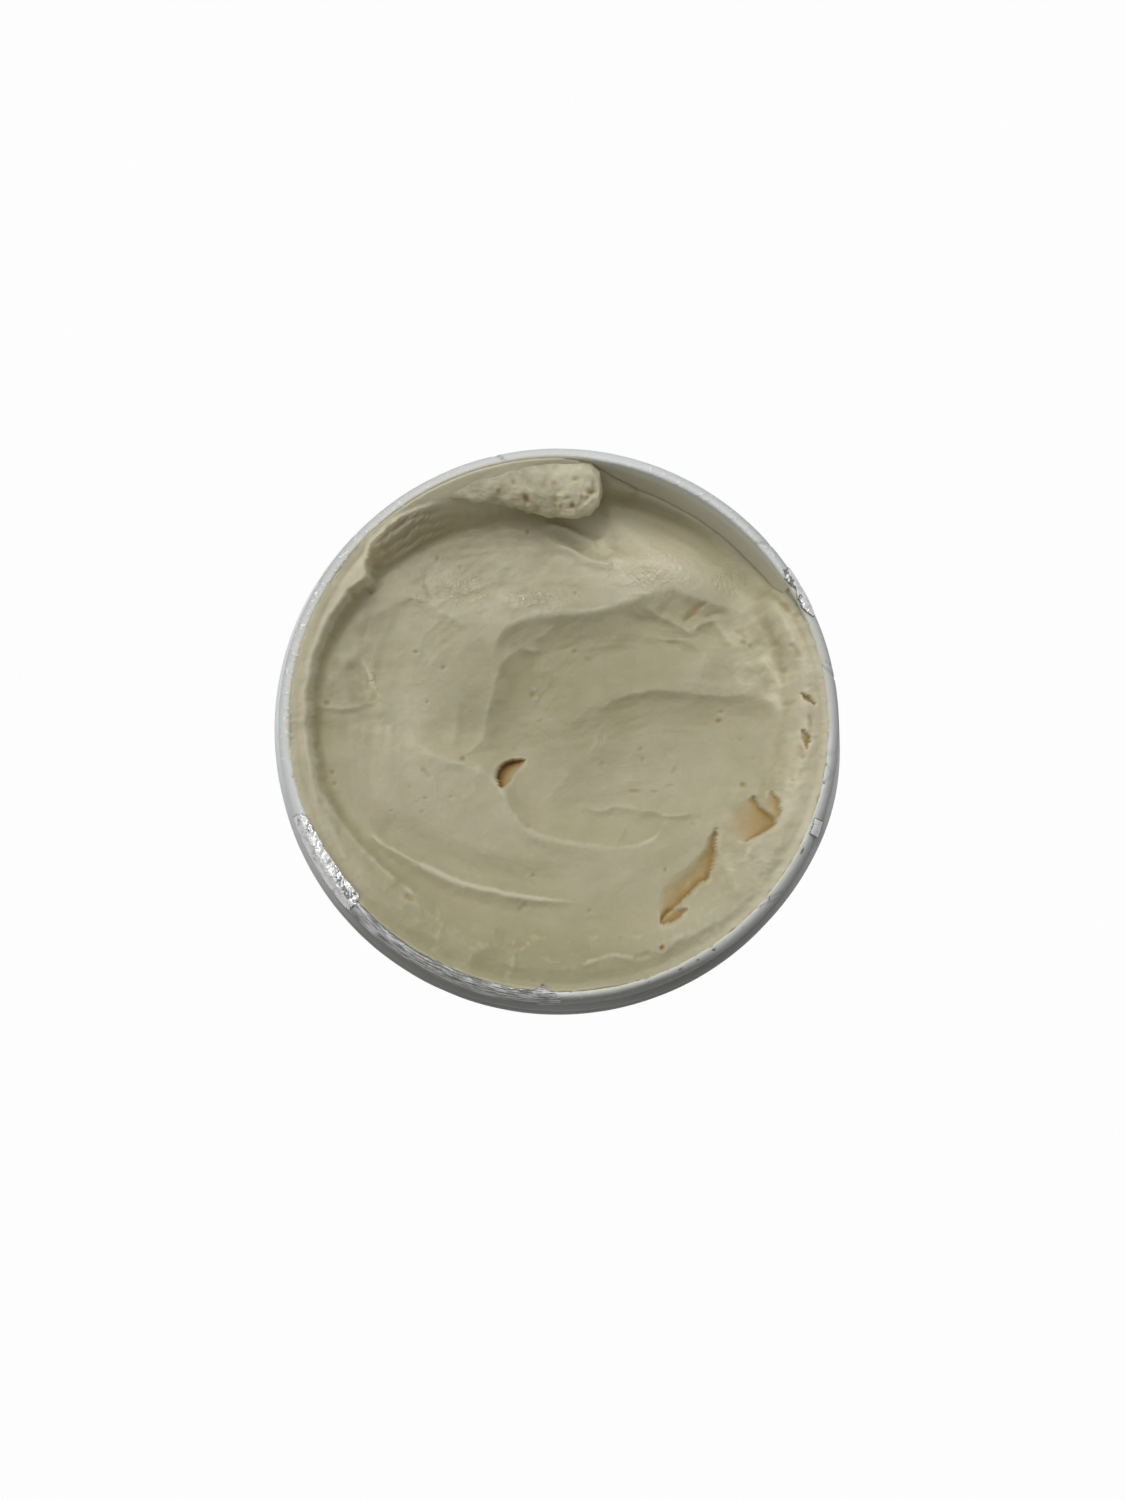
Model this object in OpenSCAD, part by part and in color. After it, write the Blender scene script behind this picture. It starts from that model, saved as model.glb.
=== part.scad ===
// Open screw-neck tub of soft shaving soap, lid off, with torn foil seal left on the lip.
// Millimetres. The origin is the centre of the foot, +Z up, +Y towards the lump on the wall.

/* [Tub] */
// Overall height from the foot to the crest of the lip
tub_h = 44; // [38:0.5:60]
// Outer radius of the body at its beads
body_r = 45.1; // [44.8:0.1:47]
// How far the label panel lies below the beads
panel_recess = 0.3; // [0.1:0.1:0.6]
// Height of the lower bead
bead_h = 3.6; // [2:0.2:6]
// Height of the upper bead under the ledge
shoulder_h = 3.2; // [2:0.2:5]
// Thickness of the floor
floor_t = 2; // [1.5:0.1:3]
// Depth of the recess under the floor
recess_h = 0.9; // [0.5:0.1:1.5]
// Inner radius of the foot ring
foot_in_r = 38.5; // [34:0.5:40]
// Inward draft of the bore from the mouth to the floor
bore_draft = 0.5; // [0.2:0.1:1]
// Radius of the corner between bore and floor
floor_round = 3; // [1:0.5:6]

/* [Neck finish 89-400] */
// Outer radius of the neck (half of the E diameter)
neck_r = 43.1; // [42.8:0.05:43.3]
// Inner radius of the mouth
mouth_r = 41.05; // [40:0.05:41.2]
// Depth of the ledge below the crest of the lip
neck_h = 10.2; // [9.8:0.1:14]
// Crest radius of the thread (half of the T diameter)
thread_r = 44.25; // [43.9:0.05:44.4]
// Rise of the thread in one turn
thread_pitch = 5.08; // [4:0.01:5.08]
// Depth of the start of the thread below the lip
thread_start = 3.1; // [3:0.1:3.5]
// Length of the thread in turns
thread_turns = 1.05; // [0.8:0.05:1.05]
// Width of the outward slope of the lip
lip_slope_w = 1.6; // [1:0.1:1.6]
// Height of the outward slope of the lip
lip_slope_h = 2.2; // [1:0.1:2.6]
// Radius of the inner edge of the lip
lip_edge = 0.42; // [0.3:0.02:0.44]

/* [Soap] */
// Mean depth of the soap below the lip
soap_depth = 7.6; // [6:0.1:12]
// How much deeper the soap is at +Y than at the centre
soap_fall = 3.2; // [0:0.1:4]
// Gap between the soap and the tub
soap_gap = 0.04; // [0.02:0.01:0.1]
// Height of the lump on the wall below the lip
lump_drop = 2.2; // [1.5:0.1:6]

/* [Foil seal] */
// Thickness of the bright foil with its lacquer
foil_t = 0.14; // [0.08:0.01:0.3]
// Thickness of the dull backing left where the foil tore off
backing_t = 0.1; // [0.06:0.01:0.3]
// Gap between the seal and the lip
seal_gap = 0.02; // [0.01:0.01:0.05]

/* [Hidden] */

ledge_z = tub_h - neck_h;
panel_r = body_r - panel_recess;
bore_floor_z = recess_h + floor_t;
bore_floor_r = mouth_r - bore_draft;
slope_centre = [neck_r - lip_slope_w, tub_h - lip_slope_h];
edge_centre = [mouth_r + lip_edge, tub_h - lip_edge];

// Points of an arc or an ellipse quarter, in equal steps of angle
function arc(centre, rx, ry, from, to, steps) =
    [for (i = [0:steps]) let (a = from + (to - from) * i / steps)
        centre + [rx * cos(a), ry * sin(a)]];

// ---------------------------------------------------------------- tub

foot_round = 1.4;
step_slope = 0.35;
ledge_round = 0.6;
neck_fillet = 0.4;

// Half section of the tub as radius and height, from the foot up the outside and down the bore
tub_section = concat(
    [[foot_in_r, 0]],
    arc([body_r - foot_round, foot_round], foot_round, foot_round, -90, 0, 8),
    [[body_r, bead_h], [panel_r, bead_h + step_slope]],
    [[panel_r, ledge_z - shoulder_h - step_slope], [body_r, ledge_z - shoulder_h]],
    arc([body_r - ledge_round, ledge_z - ledge_round], ledge_round, ledge_round, 0, 90, 6),
    arc([neck_r + neck_fillet, ledge_z + neck_fillet], neck_fillet, neck_fillet, 270, 180, 4),
    arc(slope_centre, lip_slope_w, lip_slope_h, 0, 90, 12),
    arc(edge_centre, lip_edge, lip_edge, 90, 180, 6),
    arc([bore_floor_r - floor_round, bore_floor_z + floor_round], floor_round, floor_round, 0, -90, 8),
    [[0, bore_floor_z], [0, recess_h], [foot_in_r - recess_h, recess_h]]
);

// One ring of the thread: its flanks shrink to nothing at both ends, and its root is in the neck
thread_root = 0.35;
thread_foot = 1.25;
thread_flat = 0.35;
thread_steps = 63;
thread_taper = 24;

function thread_ring(turned) =
    let (
        full = thread_turns * 360,
        ends = min(turned, full - turned) / thread_taper,
        size = 0.12 + 0.88 * sin(90 * min(1, ends)),
        rise = (thread_r - neck_r) * size,
        foot = thread_foot * (0.4 + 0.6 * size),
        z = tub_h - thread_start - thread_pitch * turned / 360,
        outline = [[-thread_root, -foot], [rise * 0.8, -thread_flat * 1.3],
            [rise, -thread_flat * 0.6], [rise, thread_flat * 0.6], [rise * 0.8, thread_flat * 1.3],
            [-thread_root, foot]]
    )
    [for (p = outline) [(neck_r + p.x) * cos(-turned), (neck_r + p.x) * sin(-turned), z + p.y]];

// Closed tube through rings of equal length, with a flat cap on each end
module skin(rings) {
    n = len(rings[0]);
    last = len(rings) - 1;
    points = [for (ring = rings) each ring];
    sides = [for (k = [0:last - 1], i = [0:n - 1]) let (j = (i + 1) % n)
        each [[k * n + i, k * n + j, (k + 1) * n + i], [k * n + j, (k + 1) * n + j, (k + 1) * n + i]]];
    caps = [[for (i = [n - 1:-1:0]) i], [for (i = [0:n - 1]) last * n + i]];
    polyhedron(points, concat(sides, caps));
}

// Moulded tub with its bead, label panel, ledge, threaded neck and outward sloping lip
module tub() color("#e9ebeb") {
    difference() {
        union() {
            rotate_extrude($fn = 180) polygon(tub_section);
            // right-hand thread: it runs down clockwise, so its rings are listed from its low end up
            skin([for (k = [thread_steps:-1:0]) thread_ring(thread_turns * 360 * k / thread_steps)]);
        }
        // gate dimple in the middle of the recess
        translate([0, 0, recess_h - 1]) cylinder(r = 2.5, h = 1.4, $fn = 48);
    }
}

// ---------------------------------------------------------------- soap

rings = 13;
spokes = 72;

// Mounds and hollows of the surface: x, y, radius, and height above or below the mean slope
shapes = [
    [-27, 27, 13, -2.6],
    [20, 29, 13, -3.2],
    [4, 35, 8, -1.2],
    [-37, 6, 8, 2.2],
    [-31, -19, 12, 2.0],
    [-9, -33, 15, 2.2],
    [21, -30, 12, 2.4],
    [38, -6, 9, 3.4],
    [2, 3, 9, -2.0],
    [20, -15, 6, -1.4],
    [-8, -7, 5, -1.0]
];

// Shallow spoon-like crest across the middle
function crest(x, y) = 0.9 * exp(-pow((y + 10 - 0.012 * pow(x + 4, 2)) / 5, 2)) * exp(-pow(x / 26, 2));

function soap_z(x, y, k = 0) = k == len(shapes)
    ? tub_h - soap_depth - soap_fall * y / mouth_r + crest(x, y)
    : let (s = shapes[k], d2 = (pow(x - s[0], 2) + pow(y - s[1], 2)) / pow(s[2], 2))
        s[3] * exp(-d2) + soap_z(x, y, k + 1);

function bore_at(z) = mouth_r - bore_draft * (tub_h - z) / (tub_h - bore_floor_z);

function soap_ring(share) = [for (i = [0:spokes - 1])
    let (
        a = 360 * i / spokes,
        wall = bore_at(bore_floor_z) - soap_gap,
        z = soap_z(wall * share * cos(a), wall * share * sin(a)),
        r = share * (bore_at(z) - soap_gap)
    ) [r * cos(a), r * sin(a), z]];

function flat_ring(r, z) = [for (i = [0:spokes - 1]) let (a = 360 * i / spokes) [r * cos(a), r * sin(a), z]];

// Rings run from the middle of the underside out to the wall, up it, and in over the top
soap_rings = concat(
    [for (p = arc([bore_floor_r - floor_round, bore_floor_z + floor_round],
            floor_round - soap_gap, floor_round - soap_gap, -90, 0, 4)) flat_ring(p.x, p.y)],
    [for (k = [0:rings - 1]) soap_ring(1 - k / rings)]
);

module soap_block() skin([for (k = [len(soap_rings) - 1:-1:0]) soap_rings[k]]);

// Soft soap, worked into slopes and scoops, from the floor of the tub up to its surface
module soap() color("#ddd5bc") soap_block();

lump_r = 3.6;
lump_z = tub_h - lump_drop - lump_r;

// Lump of soap left on the wall under the lip
module soap_lump() color("#e4ddc8") {
    difference() {
        intersection() {
            hull() {
                translate([4.2, 36.2, lump_z]) sphere(r = lump_r, $fn = 24);
                translate([-6, 37.2, lump_z - 0.3]) sphere(r = lump_r, $fn = 24);
                translate([-15, 36.6, lump_z - 1.6]) sphere(r = lump_r - 1, $fn = 24);
                translate([-2, 38, lump_z - 5]) sphere(r = lump_r, $fn = 24);
            }
            cylinder(r = bore_at(ledge_z) - soap_gap, h = tub_h, $fn = 144);
        }
        translate([0, 0, soap_gap]) soap_block();
    }
}

// ---------------------------------------------------------------- foil seal

// Curve over the lip at a height off it, from the outer slope to the inner edge
function lip_curve(off, low, drop) = concat(
    arc(slope_centre, lip_slope_w + off, lip_slope_h + off, low, 90, 10),
    arc(edge_centre, lip_edge + off, lip_edge + off, 90, 90 + drop, 3)
);

// Band of seal laid over the lip, thick, from low on the slope, running flap_w past the inner edge
module lip_band(from, to, thick, low, flap_w) {
    under = lip_curve(seal_gap, low, 30);
    over = lip_curve(seal_gap + thick, low, 30);
    tip_in = under[len(under) - 1] - [flap_w, 0.1 * flap_w];
    tip_out = over[len(over) - 1] - [flap_w, 0.1 * flap_w];
    rotate(from) rotate_extrude(angle = to - from, $fn = 180)
        polygon(concat(under, [tip_in, tip_out], [for (i = [len(over) - 1:-1:0]) over[i]]));
}

// Upright knife that cuts a band to a torn outline given as angle and radius pairs
module torn(outline) linear_extrude(height = tub_h + 5)
    polygon([for (p = outline) p[1] * [cos(p[0]), sin(p[0])]]);

// Bright strip of foil still bonded to the lip, wider at its free end
module foil_strip() color("#c9ccd0") intersection() {
    lip_band(196, 224, foil_t, 12, 2.2);
    torn([[198, 44], [198.6, 40.6], [201, 40.1], [203, 40.4], [206, 39.9], [209, 40], [212, 39.4],
        [215, 39.6], [218, 39], [220.6, 38.9], [221.4, 40.4], [222.4, 42], [221.8, 44]]);
}

// Dull backing layer left on the lip where the foil was peeled away
module foil_backing() color("#9fa2a3") intersection() {
    lip_band(222, 271, backing_t, 4, 0.7);
    torn([[222.8, 44], [223.2, 41.8], [222.6, 40.3], [228, 40.1], [234, 39.9], [240, 40.1], [246, 40],
        [252, 39.9], [258, 40.1], [263, 39.8], [266, 40.1], [268.2, 40.9], [269.8, 41.8], [268.6, 44],
        [257, 45], [245, 45], [234, 45]]);
}

// Small crinkled scrap of foil
module foil_scrap() color("#c9ccd0") intersection() {
    lip_band(24, 36, foil_t, 8, 0.3);
    torn([[25.4, 44], [25.2, 42.2], [26.4, 41.1], [28.6, 40.8], [31, 41.1], [33.4, 41],
        [34.6, 41.8], [33.6, 42.9], [30.8, 43.4], [28, 44]]);
}

// Fleck of foil
module foil_fleck() color("#d8dadc") intersection() {
    lip_band(336, 343, foil_t, 8, 0.05);
    torn([[337.4, 42.8], [337.8, 41.4], [341.2, 41.6], [340.8, 43]]);
}

tub();
soap();
soap_lump();
foil_strip();
foil_backing();
foil_scrap();
foil_fleck();
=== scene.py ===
import math

import bpy
import numpy as np
from mathutils import Matrix, Vector


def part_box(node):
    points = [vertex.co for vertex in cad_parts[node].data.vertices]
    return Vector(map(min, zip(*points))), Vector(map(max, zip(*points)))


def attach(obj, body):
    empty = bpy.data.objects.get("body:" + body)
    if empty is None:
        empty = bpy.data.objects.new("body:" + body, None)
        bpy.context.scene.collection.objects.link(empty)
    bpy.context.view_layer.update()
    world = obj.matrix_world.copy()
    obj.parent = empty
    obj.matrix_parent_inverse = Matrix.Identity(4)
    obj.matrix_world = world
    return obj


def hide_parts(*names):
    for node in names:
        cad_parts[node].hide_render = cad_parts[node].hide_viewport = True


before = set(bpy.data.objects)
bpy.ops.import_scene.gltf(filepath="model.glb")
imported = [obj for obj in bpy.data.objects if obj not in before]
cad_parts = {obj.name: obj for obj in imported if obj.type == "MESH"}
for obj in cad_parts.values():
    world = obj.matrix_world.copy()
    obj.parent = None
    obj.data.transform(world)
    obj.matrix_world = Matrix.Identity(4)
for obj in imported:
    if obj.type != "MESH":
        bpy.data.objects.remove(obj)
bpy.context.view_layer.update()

# ---- Sizes. Sculpting is done in millimetres round the axis of the tub and scaled to metres at the end.
MM = 0.001

tub_high, soap_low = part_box("tub")[1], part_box("soap")[0]
RIM_Z = tub_high.z / MM                # crest of the lip
MOUTH_R = 41.05                        # bore radius at the mouth
BORE_DRAFT = 0.5                       # the bore is this much smaller in radius at its floor
FLOOR_Z = soap_low.z / MM              # floor of the tub, under the soap
NECK_R = 43.1                          # outside of the neck
SLOPE_W, SLOPE_H = 1.6, 2.2            # the lip slopes outward over this width and height
EDGE_R = 0.42                          # inner edge of the lip
LIP_MID_R = 42                         # middle of the lip
WALL_GAP = 0.01                        # the soap stops this short of the wall
FLOOR_ROUND = 3                        # radius between the bore and its floor
BORE_FOOT_Z = 14.0                     # the straight part of the bore ends at this height
LINE_PITCH, LINE_LENGTH = 1.1, 16      # spacing and length of the fine lines that the spatula leaves
CRUMB = 2.4                            # size of the crumbs in a rough patch of soap
# centres of the two curves of the lip, as radius and height
SLOPE_C = (NECK_R - SLOPE_W, RIM_Z - SLOPE_H)
EDGE_C = (MOUTH_R + EDGE_R, RIM_Z - EDGE_R)


def bore_radius(z):
    """Radius of the bore at a height, both in millimetres."""
    return MOUTH_R - BORE_DRAFT * (RIM_Z - z) / (RIM_Z - FLOOR_Z)


# ---- Noise and curves
def hashed(ix, iy, seed):
    """Repeatable pseudo-random numbers from 0 to 1 for whole-number cells."""
    n = (ix * 374761393 + iy * 668265263 + seed * 974634777) & 0xFFFFFFFF
    n = ((n ^ (n >> 13)) * 1274126177) & 0xFFFFFFFF
    return ((n ^ (n >> 16)) & 0xFFFFFF) / float(0xFFFFFF)


def noise(x, y, seed=0):
    """Gradient noise, about -0.7 to 0.7, with cells one unit wide."""
    x, y = np.broadcast_arrays(np.asarray(x, float), np.asarray(y, float))
    ix, iy = np.floor(x).astype(np.int64), np.floor(y).astype(np.int64)
    fx, fy = x - ix, y - iy
    ux, uy = fx * fx * fx * (fx * (fx * 6 - 15) + 10), fy * fy * fy * (fy * (fy * 6 - 15) + 10)

    def corner(dx, dy):
        turn = 2 * math.pi * hashed(ix + dx, iy + dy, seed)
        return np.cos(turn) * (fx - dx) + np.sin(turn) * (fy - dy)

    low = corner(0, 0) * (1 - ux) + corner(1, 0) * ux
    high = corner(0, 1) * (1 - ux) + corner(1, 1) * ux
    return low * (1 - uy) + high * uy


def layered(x, y, seed=0, octaves=4, gain=0.5):
    """Sum of finer and finer noise."""
    total, size = 0.0, 1.0
    for k in range(octaves):
        total = total + size * noise(x * 2 ** k, y * 2 ** k, seed + 17 * k)
        size *= gain
    return total


def smooth(low, high, value):
    """Smooth step from 0 at low to 1 at high."""
    t = np.clip((value - low) / (high - low), 0, 1)
    return t * t * (3 - 2 * t)


def bell(value, width):
    return np.exp(-(value / width) ** 2)


def spline(points, step=0.25):
    """Points every step millimetres along a smooth curve through the given ones."""
    p = np.array(points, float)
    p = np.vstack([2 * p[0] - p[1], p, 2 * p[-1] - p[-2]])
    out = []
    for a, b, c, d in zip(p[:-3], p[1:-2], p[2:-1], p[3:]):
        n = max(2, int(np.linalg.norm(c - b) / step))
        t = np.linspace(0, 1, n, endpoint=False)[:, None]
        out.append(0.5 * (2 * b + (c - a) * t + (2 * a - 5 * b + 4 * c - d) * t ** 2
                          + (3 * b - a - 3 * c + d) * t ** 3))
    return np.vstack(out + [p[-2][None]])


def distance2(x, y, line):
    """Squared distance from each point to the nearest point of a line."""
    return np.min((x[..., None] - line[:, 0]) ** 2 + (y[..., None] - line[:, 1]) ** 2, axis=-1)


class Relief:
    """A surface height over a set of points, and masks that its material reads."""

    def __init__(self, x, y):
        self.x, self.y = x, y
        # edges wander a little, as torn paste does
        self.wx = x + 0.22 * layered(x / 2.3, y / 2.3, 3, 3)
        self.wy = y + 0.22 * layered(x / 2.3 + 40, y / 2.3, 4, 3)
        # cavity holds painted shade in holes, grooves and pits, darkest where deepest
        self.z, self.cavity, self.gloss, self.tone = (np.zeros_like(x) for _ in range(4))

    @staticmethod
    def boxed(x, y, line, reach):
        """Indices of the points within reach of the box round a line."""
        low, high = line.min(0) - reach, line.max(0) + reach
        return np.nonzero((x > low[0]) & (x < high[0]) & (y > low[1]) & (y < high[1]))[0]

    @staticmethod
    def turned(dx, dy, rx, ry, turn):
        """Offsets along the axes of an ellipse turned by some degrees, in units of its radii."""
        c, s = math.cos(math.radians(turn)), math.sin(math.radians(turn))
        return (dx * c + dy * s) / rx, (-dx * s + dy * c) / ry

    def patch(self, x, y, rx, ry):
        """1 at a spot, fading out round it."""
        return np.exp(-((self.x - x) / rx) ** 2 - ((self.y - y) / ry) ** 2)

    def nearest(self, points, reach):
        """Indices within reach of a curve, then for each its offset to the side (left is positive), its
        distance, its share of the curve's length, and the length. Offset and share change smoothly."""
        line = spline(points)
        near = self.boxed(self.wx, self.wy, line, reach)
        px, py = self.wx[near], self.wy[near]
        tangent = np.gradient(line, axis=0)
        tangent /= np.linalg.norm(tangent, axis=1)[:, None]
        length = np.r_[0, np.cumsum(np.linalg.norm(np.diff(line, axis=0), axis=1))]
        best = np.full(len(near), 1e9)
        total, side, share = np.zeros(len(near)), np.zeros(len(near)), np.zeros(len(near))
        for (lx, ly), (tx, ty), at in zip(line, tangent, length / length[-1]):
            ox, oy = px - lx, py - ly
            d2 = ox * ox + oy * oy + 1e-6
            weight = d2 ** -3
            total += weight
            side += weight * (tx * oy - ty * ox) / np.sqrt(d2)
            share += weight * at
            best = np.minimum(best, d2)
        distance = np.sqrt(best)
        inside = distance < reach
        return (near[inside], (distance * side / total)[inside], distance[inside], (share / total)[inside],
                length[-1])

    @staticmethod
    def fade(t, start, end):
        """1 along the curve, falling to 0 over the given shares at its start and end."""
        return smooth(0, max(start, 1e-6), t) * smooth(0, max(end, 1e-6), 1 - t)

    def mound(self, x, y, rx, ry, height, turn=0):
        u, v = self.turned(self.x - x, self.y - y, rx, ry, turn)
        self.z += height * np.exp(-(u * u + v * v))

    def crease(self, points, drop, run=4.0, lip=0.0, lip_width=0.6, ends=(0.15, 0.15), soft=0.0, back=0.0):
        """The right side of the curve is lower: it drops within run and slowly comes back.
        lip rounds the edge up; soft widens the edge; back lets the left side sag behind the edge."""
        near, d, away, t, _ = self.nearest(points, 3.6 * run)
        fade = self.fade(t, *ends) * smooth(3.6 * run, 1.2 * run, away)
        soft = soft + 0.1
        e = np.sqrt(d * d + soft * soft)
        u = np.where(d < 0, e - soft, 0) / run
        self.z[near] -= drop * (1 - np.exp(-2.2 * u)) * fade
        v = np.maximum(d, 0) / (1.2 * run)
        self.z[near] -= back * v * np.exp(1 - v) * fade
        self.z[near] += lip * bell(away, 1.25 * lip_width) * self.fade(t, *ends)

    def ridge(self, points, height, width=0.5, ends=(0.2, 0.2)):
        """A rib along the curve."""
        near, _, away, t, _ = self.nearest(points, 4 * width)
        self.z[near] += height * bell(away, width) * self.fade(t, *ends)

    def groove(self, points, depth, width=0.5, recess_shade=0.0, ends=(0.2, 0.2)):
        near, _, away, t, _ = self.nearest(points, 4 * width)
        shape = bell(away, width) * self.fade(t, *ends)
        self.z[near] -= depth * shape
        self.cavity[near] = np.maximum(self.cavity[near], recess_shade * shape)

    def swath(self, points, width, streak, seed):
        """Fine lines along a spatula pass."""
        near, d, away, t, length = self.nearest(points, width)
        mask = smooth(width, 0.4 * width, away) * self.fade(t, 0.2, 0.2)
        lines = layered(d / LINE_PITCH, t * length / LINE_LENGTH, seed, 3, 0.55)
        patchy = smooth(-0.25, 0.35, layered(self.x[near] / 6, self.y[near] / 6, seed + 9, 2))
        self.z[near] += streak * lines * mask * patchy

    def pit(self, x, y, radius, depth, recess_shade=0.6, stretch=1.0, turn=0):
        u, v = self.turned(self.wx - x, self.wy - y, radius * stretch, radius, turn)
        shape = np.exp(-(u * u + v * v) ** 1.5)
        self.z -= depth * shape
        self.cavity = np.maximum(self.cavity, recess_shade * shape)

    def hole(self, steep, soft, depth, recess_shade=1.0, power=1.2, edge=0.35):
        """A hole between two curves with shared ends: sheer at the steep one, sloping at the soft one."""
        a, b = spline(steep), spline(soft)
        outline = np.vstack([a, b[::-1]])
        near = self.boxed(self.x, self.y, outline, 1.0)
        x, y = (w[near] + 0.12 * layered(self.x[near] / 0.8, self.y[near] / 0.8, seed, 2)
                for w, seed in ((self.wx, 5), (self.wy, 6)))
        inside = np.zeros(len(near), bool)
        for p, q in zip(outline, np.roll(outline, -1, 0)):
            crossing = (p[1] > y) != (q[1] > y)
            if p[1] != q[1]:
                inside ^= crossing & (x < (q[0] - p[0]) * (y - p[1]) / (q[1] - p[1]) + p[0])
        d_steep, d_soft = np.sqrt(distance2(x, y, a)), np.sqrt(distance2(x, y, b))
        share = d_soft / (d_soft + d_steep + 1e-9)
        shape = inside * share ** power * smooth(0, edge, d_steep + 0.12)
        self.z[near] -= depth * shape
        self.cavity[near] = np.maximum(self.cavity[near], recess_shade * shape ** 0.8)

    def rough_patch(self, x, y, radius, height, seed):
        """A rough, crumbly patch."""
        mask = np.exp(-((self.x - x) ** 2 + (self.y - y) ** 2) / radius ** 2)
        bumps = np.abs(layered(self.x / CRUMB, self.y / CRUMB, seed, 3, 0.5))
        self.z += height * mask * (1.2 - 2.4 * bumps)


# ---- The soap's surface. Depths are millimetres below the lip, and x and y are from the tub's axis
# Depth of the surface at chosen spots, as x, y, depth: shallow at the near side, deep at the far right
SPOTS = [
    # round the wall
    (37, 0, 3.4), (35, 10, 4.4), (31, 20, 8.2), (26, 27, 10.2), (18, 33, 11.0), (9, 36, 10.8),
    (0, 37, 10.2), (-10, 36, 9.0), (-19, 32, 8.6), (-27, 26, 7.6), (-33, 18, 6.0), (-36, 9, 4.8),
    (-37, 0, 4.0), (-36, -10, 3.4), (-29, -24, 2.8), (-16, -34, 3.1), (0, -37, 3.1), (13, -35, 3.1),
    (26, -27, 3.5), (34, -14, 3.4),
    # far side and its bulge
    (-12, 30, 9.8), (-12, 24, 9.2), (-22, 20, 8.2), (-22, 26, 8.8), (0, 30, 10.4), (0, 25, 9.8),
    (8, 29, 10.2), (22, 26, 8.8), (14, 27, 9.0), (28, 22, 8.8), (10, 23, 9.2), (18, 23, 8.4), (24, 22, 8.4),
    # crest between the far side and the middle basin
    (-9, 17, 8.0), (0, 19.5, 8.1), (8, 20.6, 8.4), (15, 22.6, 8.6), (-16, 15, 7.8), (-22, 12, 7.3),
    (-28, 11, 8.0),
    # middle basin and the hollow to its right
    (-6, 8, 9.4), (2, 13, 9.7), (12, 14, 9.8), (18, 11, 9.3), (28, 11, 7.8), (10, 8, 8.9), (22, 9, 8.1),
    (32, 7, 6.0), (14, 2, 9.2), (24, 1, 9.0), (31, -1, 6.6), (0, 0, 9.3), (-7, -2, 9.3), (4, -8, 9.0),
    (14, -7, 8.7), (22, -7, 8.1),
    # left and near sides
    (-20, 5, 7.4), (-27, -1, 7.0), (-19, -1, 7.4), (-20, -7, 6.5), (-12, -12, 6.7), (-22, -16, 5.4),
    (-10, -20, 5.6), (4, -18, 6.9), (12, -16, 7.0), (20, -13, 6.7), (6, -26, 4.7), (17, -22, 5.2),
    (-20, -28, 3.9), (28, -6, 7.2),
]


def thin_plate(spots, x, y):
    """Smooth surface through the spots."""
    spots = np.array(spots, float)

    def kernel(ax, ay, bx, by):
        d2 = (ax[:, None] - bx) ** 2 + (ay[:, None] - by) ** 2
        return 0.5 * d2 * np.log(d2 + 1e-9)

    sx, sy, sz = spots.T
    n = len(spots)
    plane = np.stack([np.ones(n), sx, sy], 1)
    system = np.block([[kernel(sx, sy, sx, sy) + 12.0 * np.eye(n), plane], [plane.T, np.zeros((3, 3))]])
    weights = np.linalg.solve(system, np.r_[sz, 0, 0, 0])
    return kernel(x, y, sx, sy) @ weights[:n] + weights[n] + weights[n + 1] * x + weights[n + 2] * y


def broad_shape(r):
    r.z[:] = -thin_plate(SPOTS, r.x, r.y)
    # the bulge at the far right
    r.mound(17, 27, 9.0, 4.6, 1.2, -22)
    r.mound(26, 21.5, 5.0, 4.0, 0.5, -40)


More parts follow.
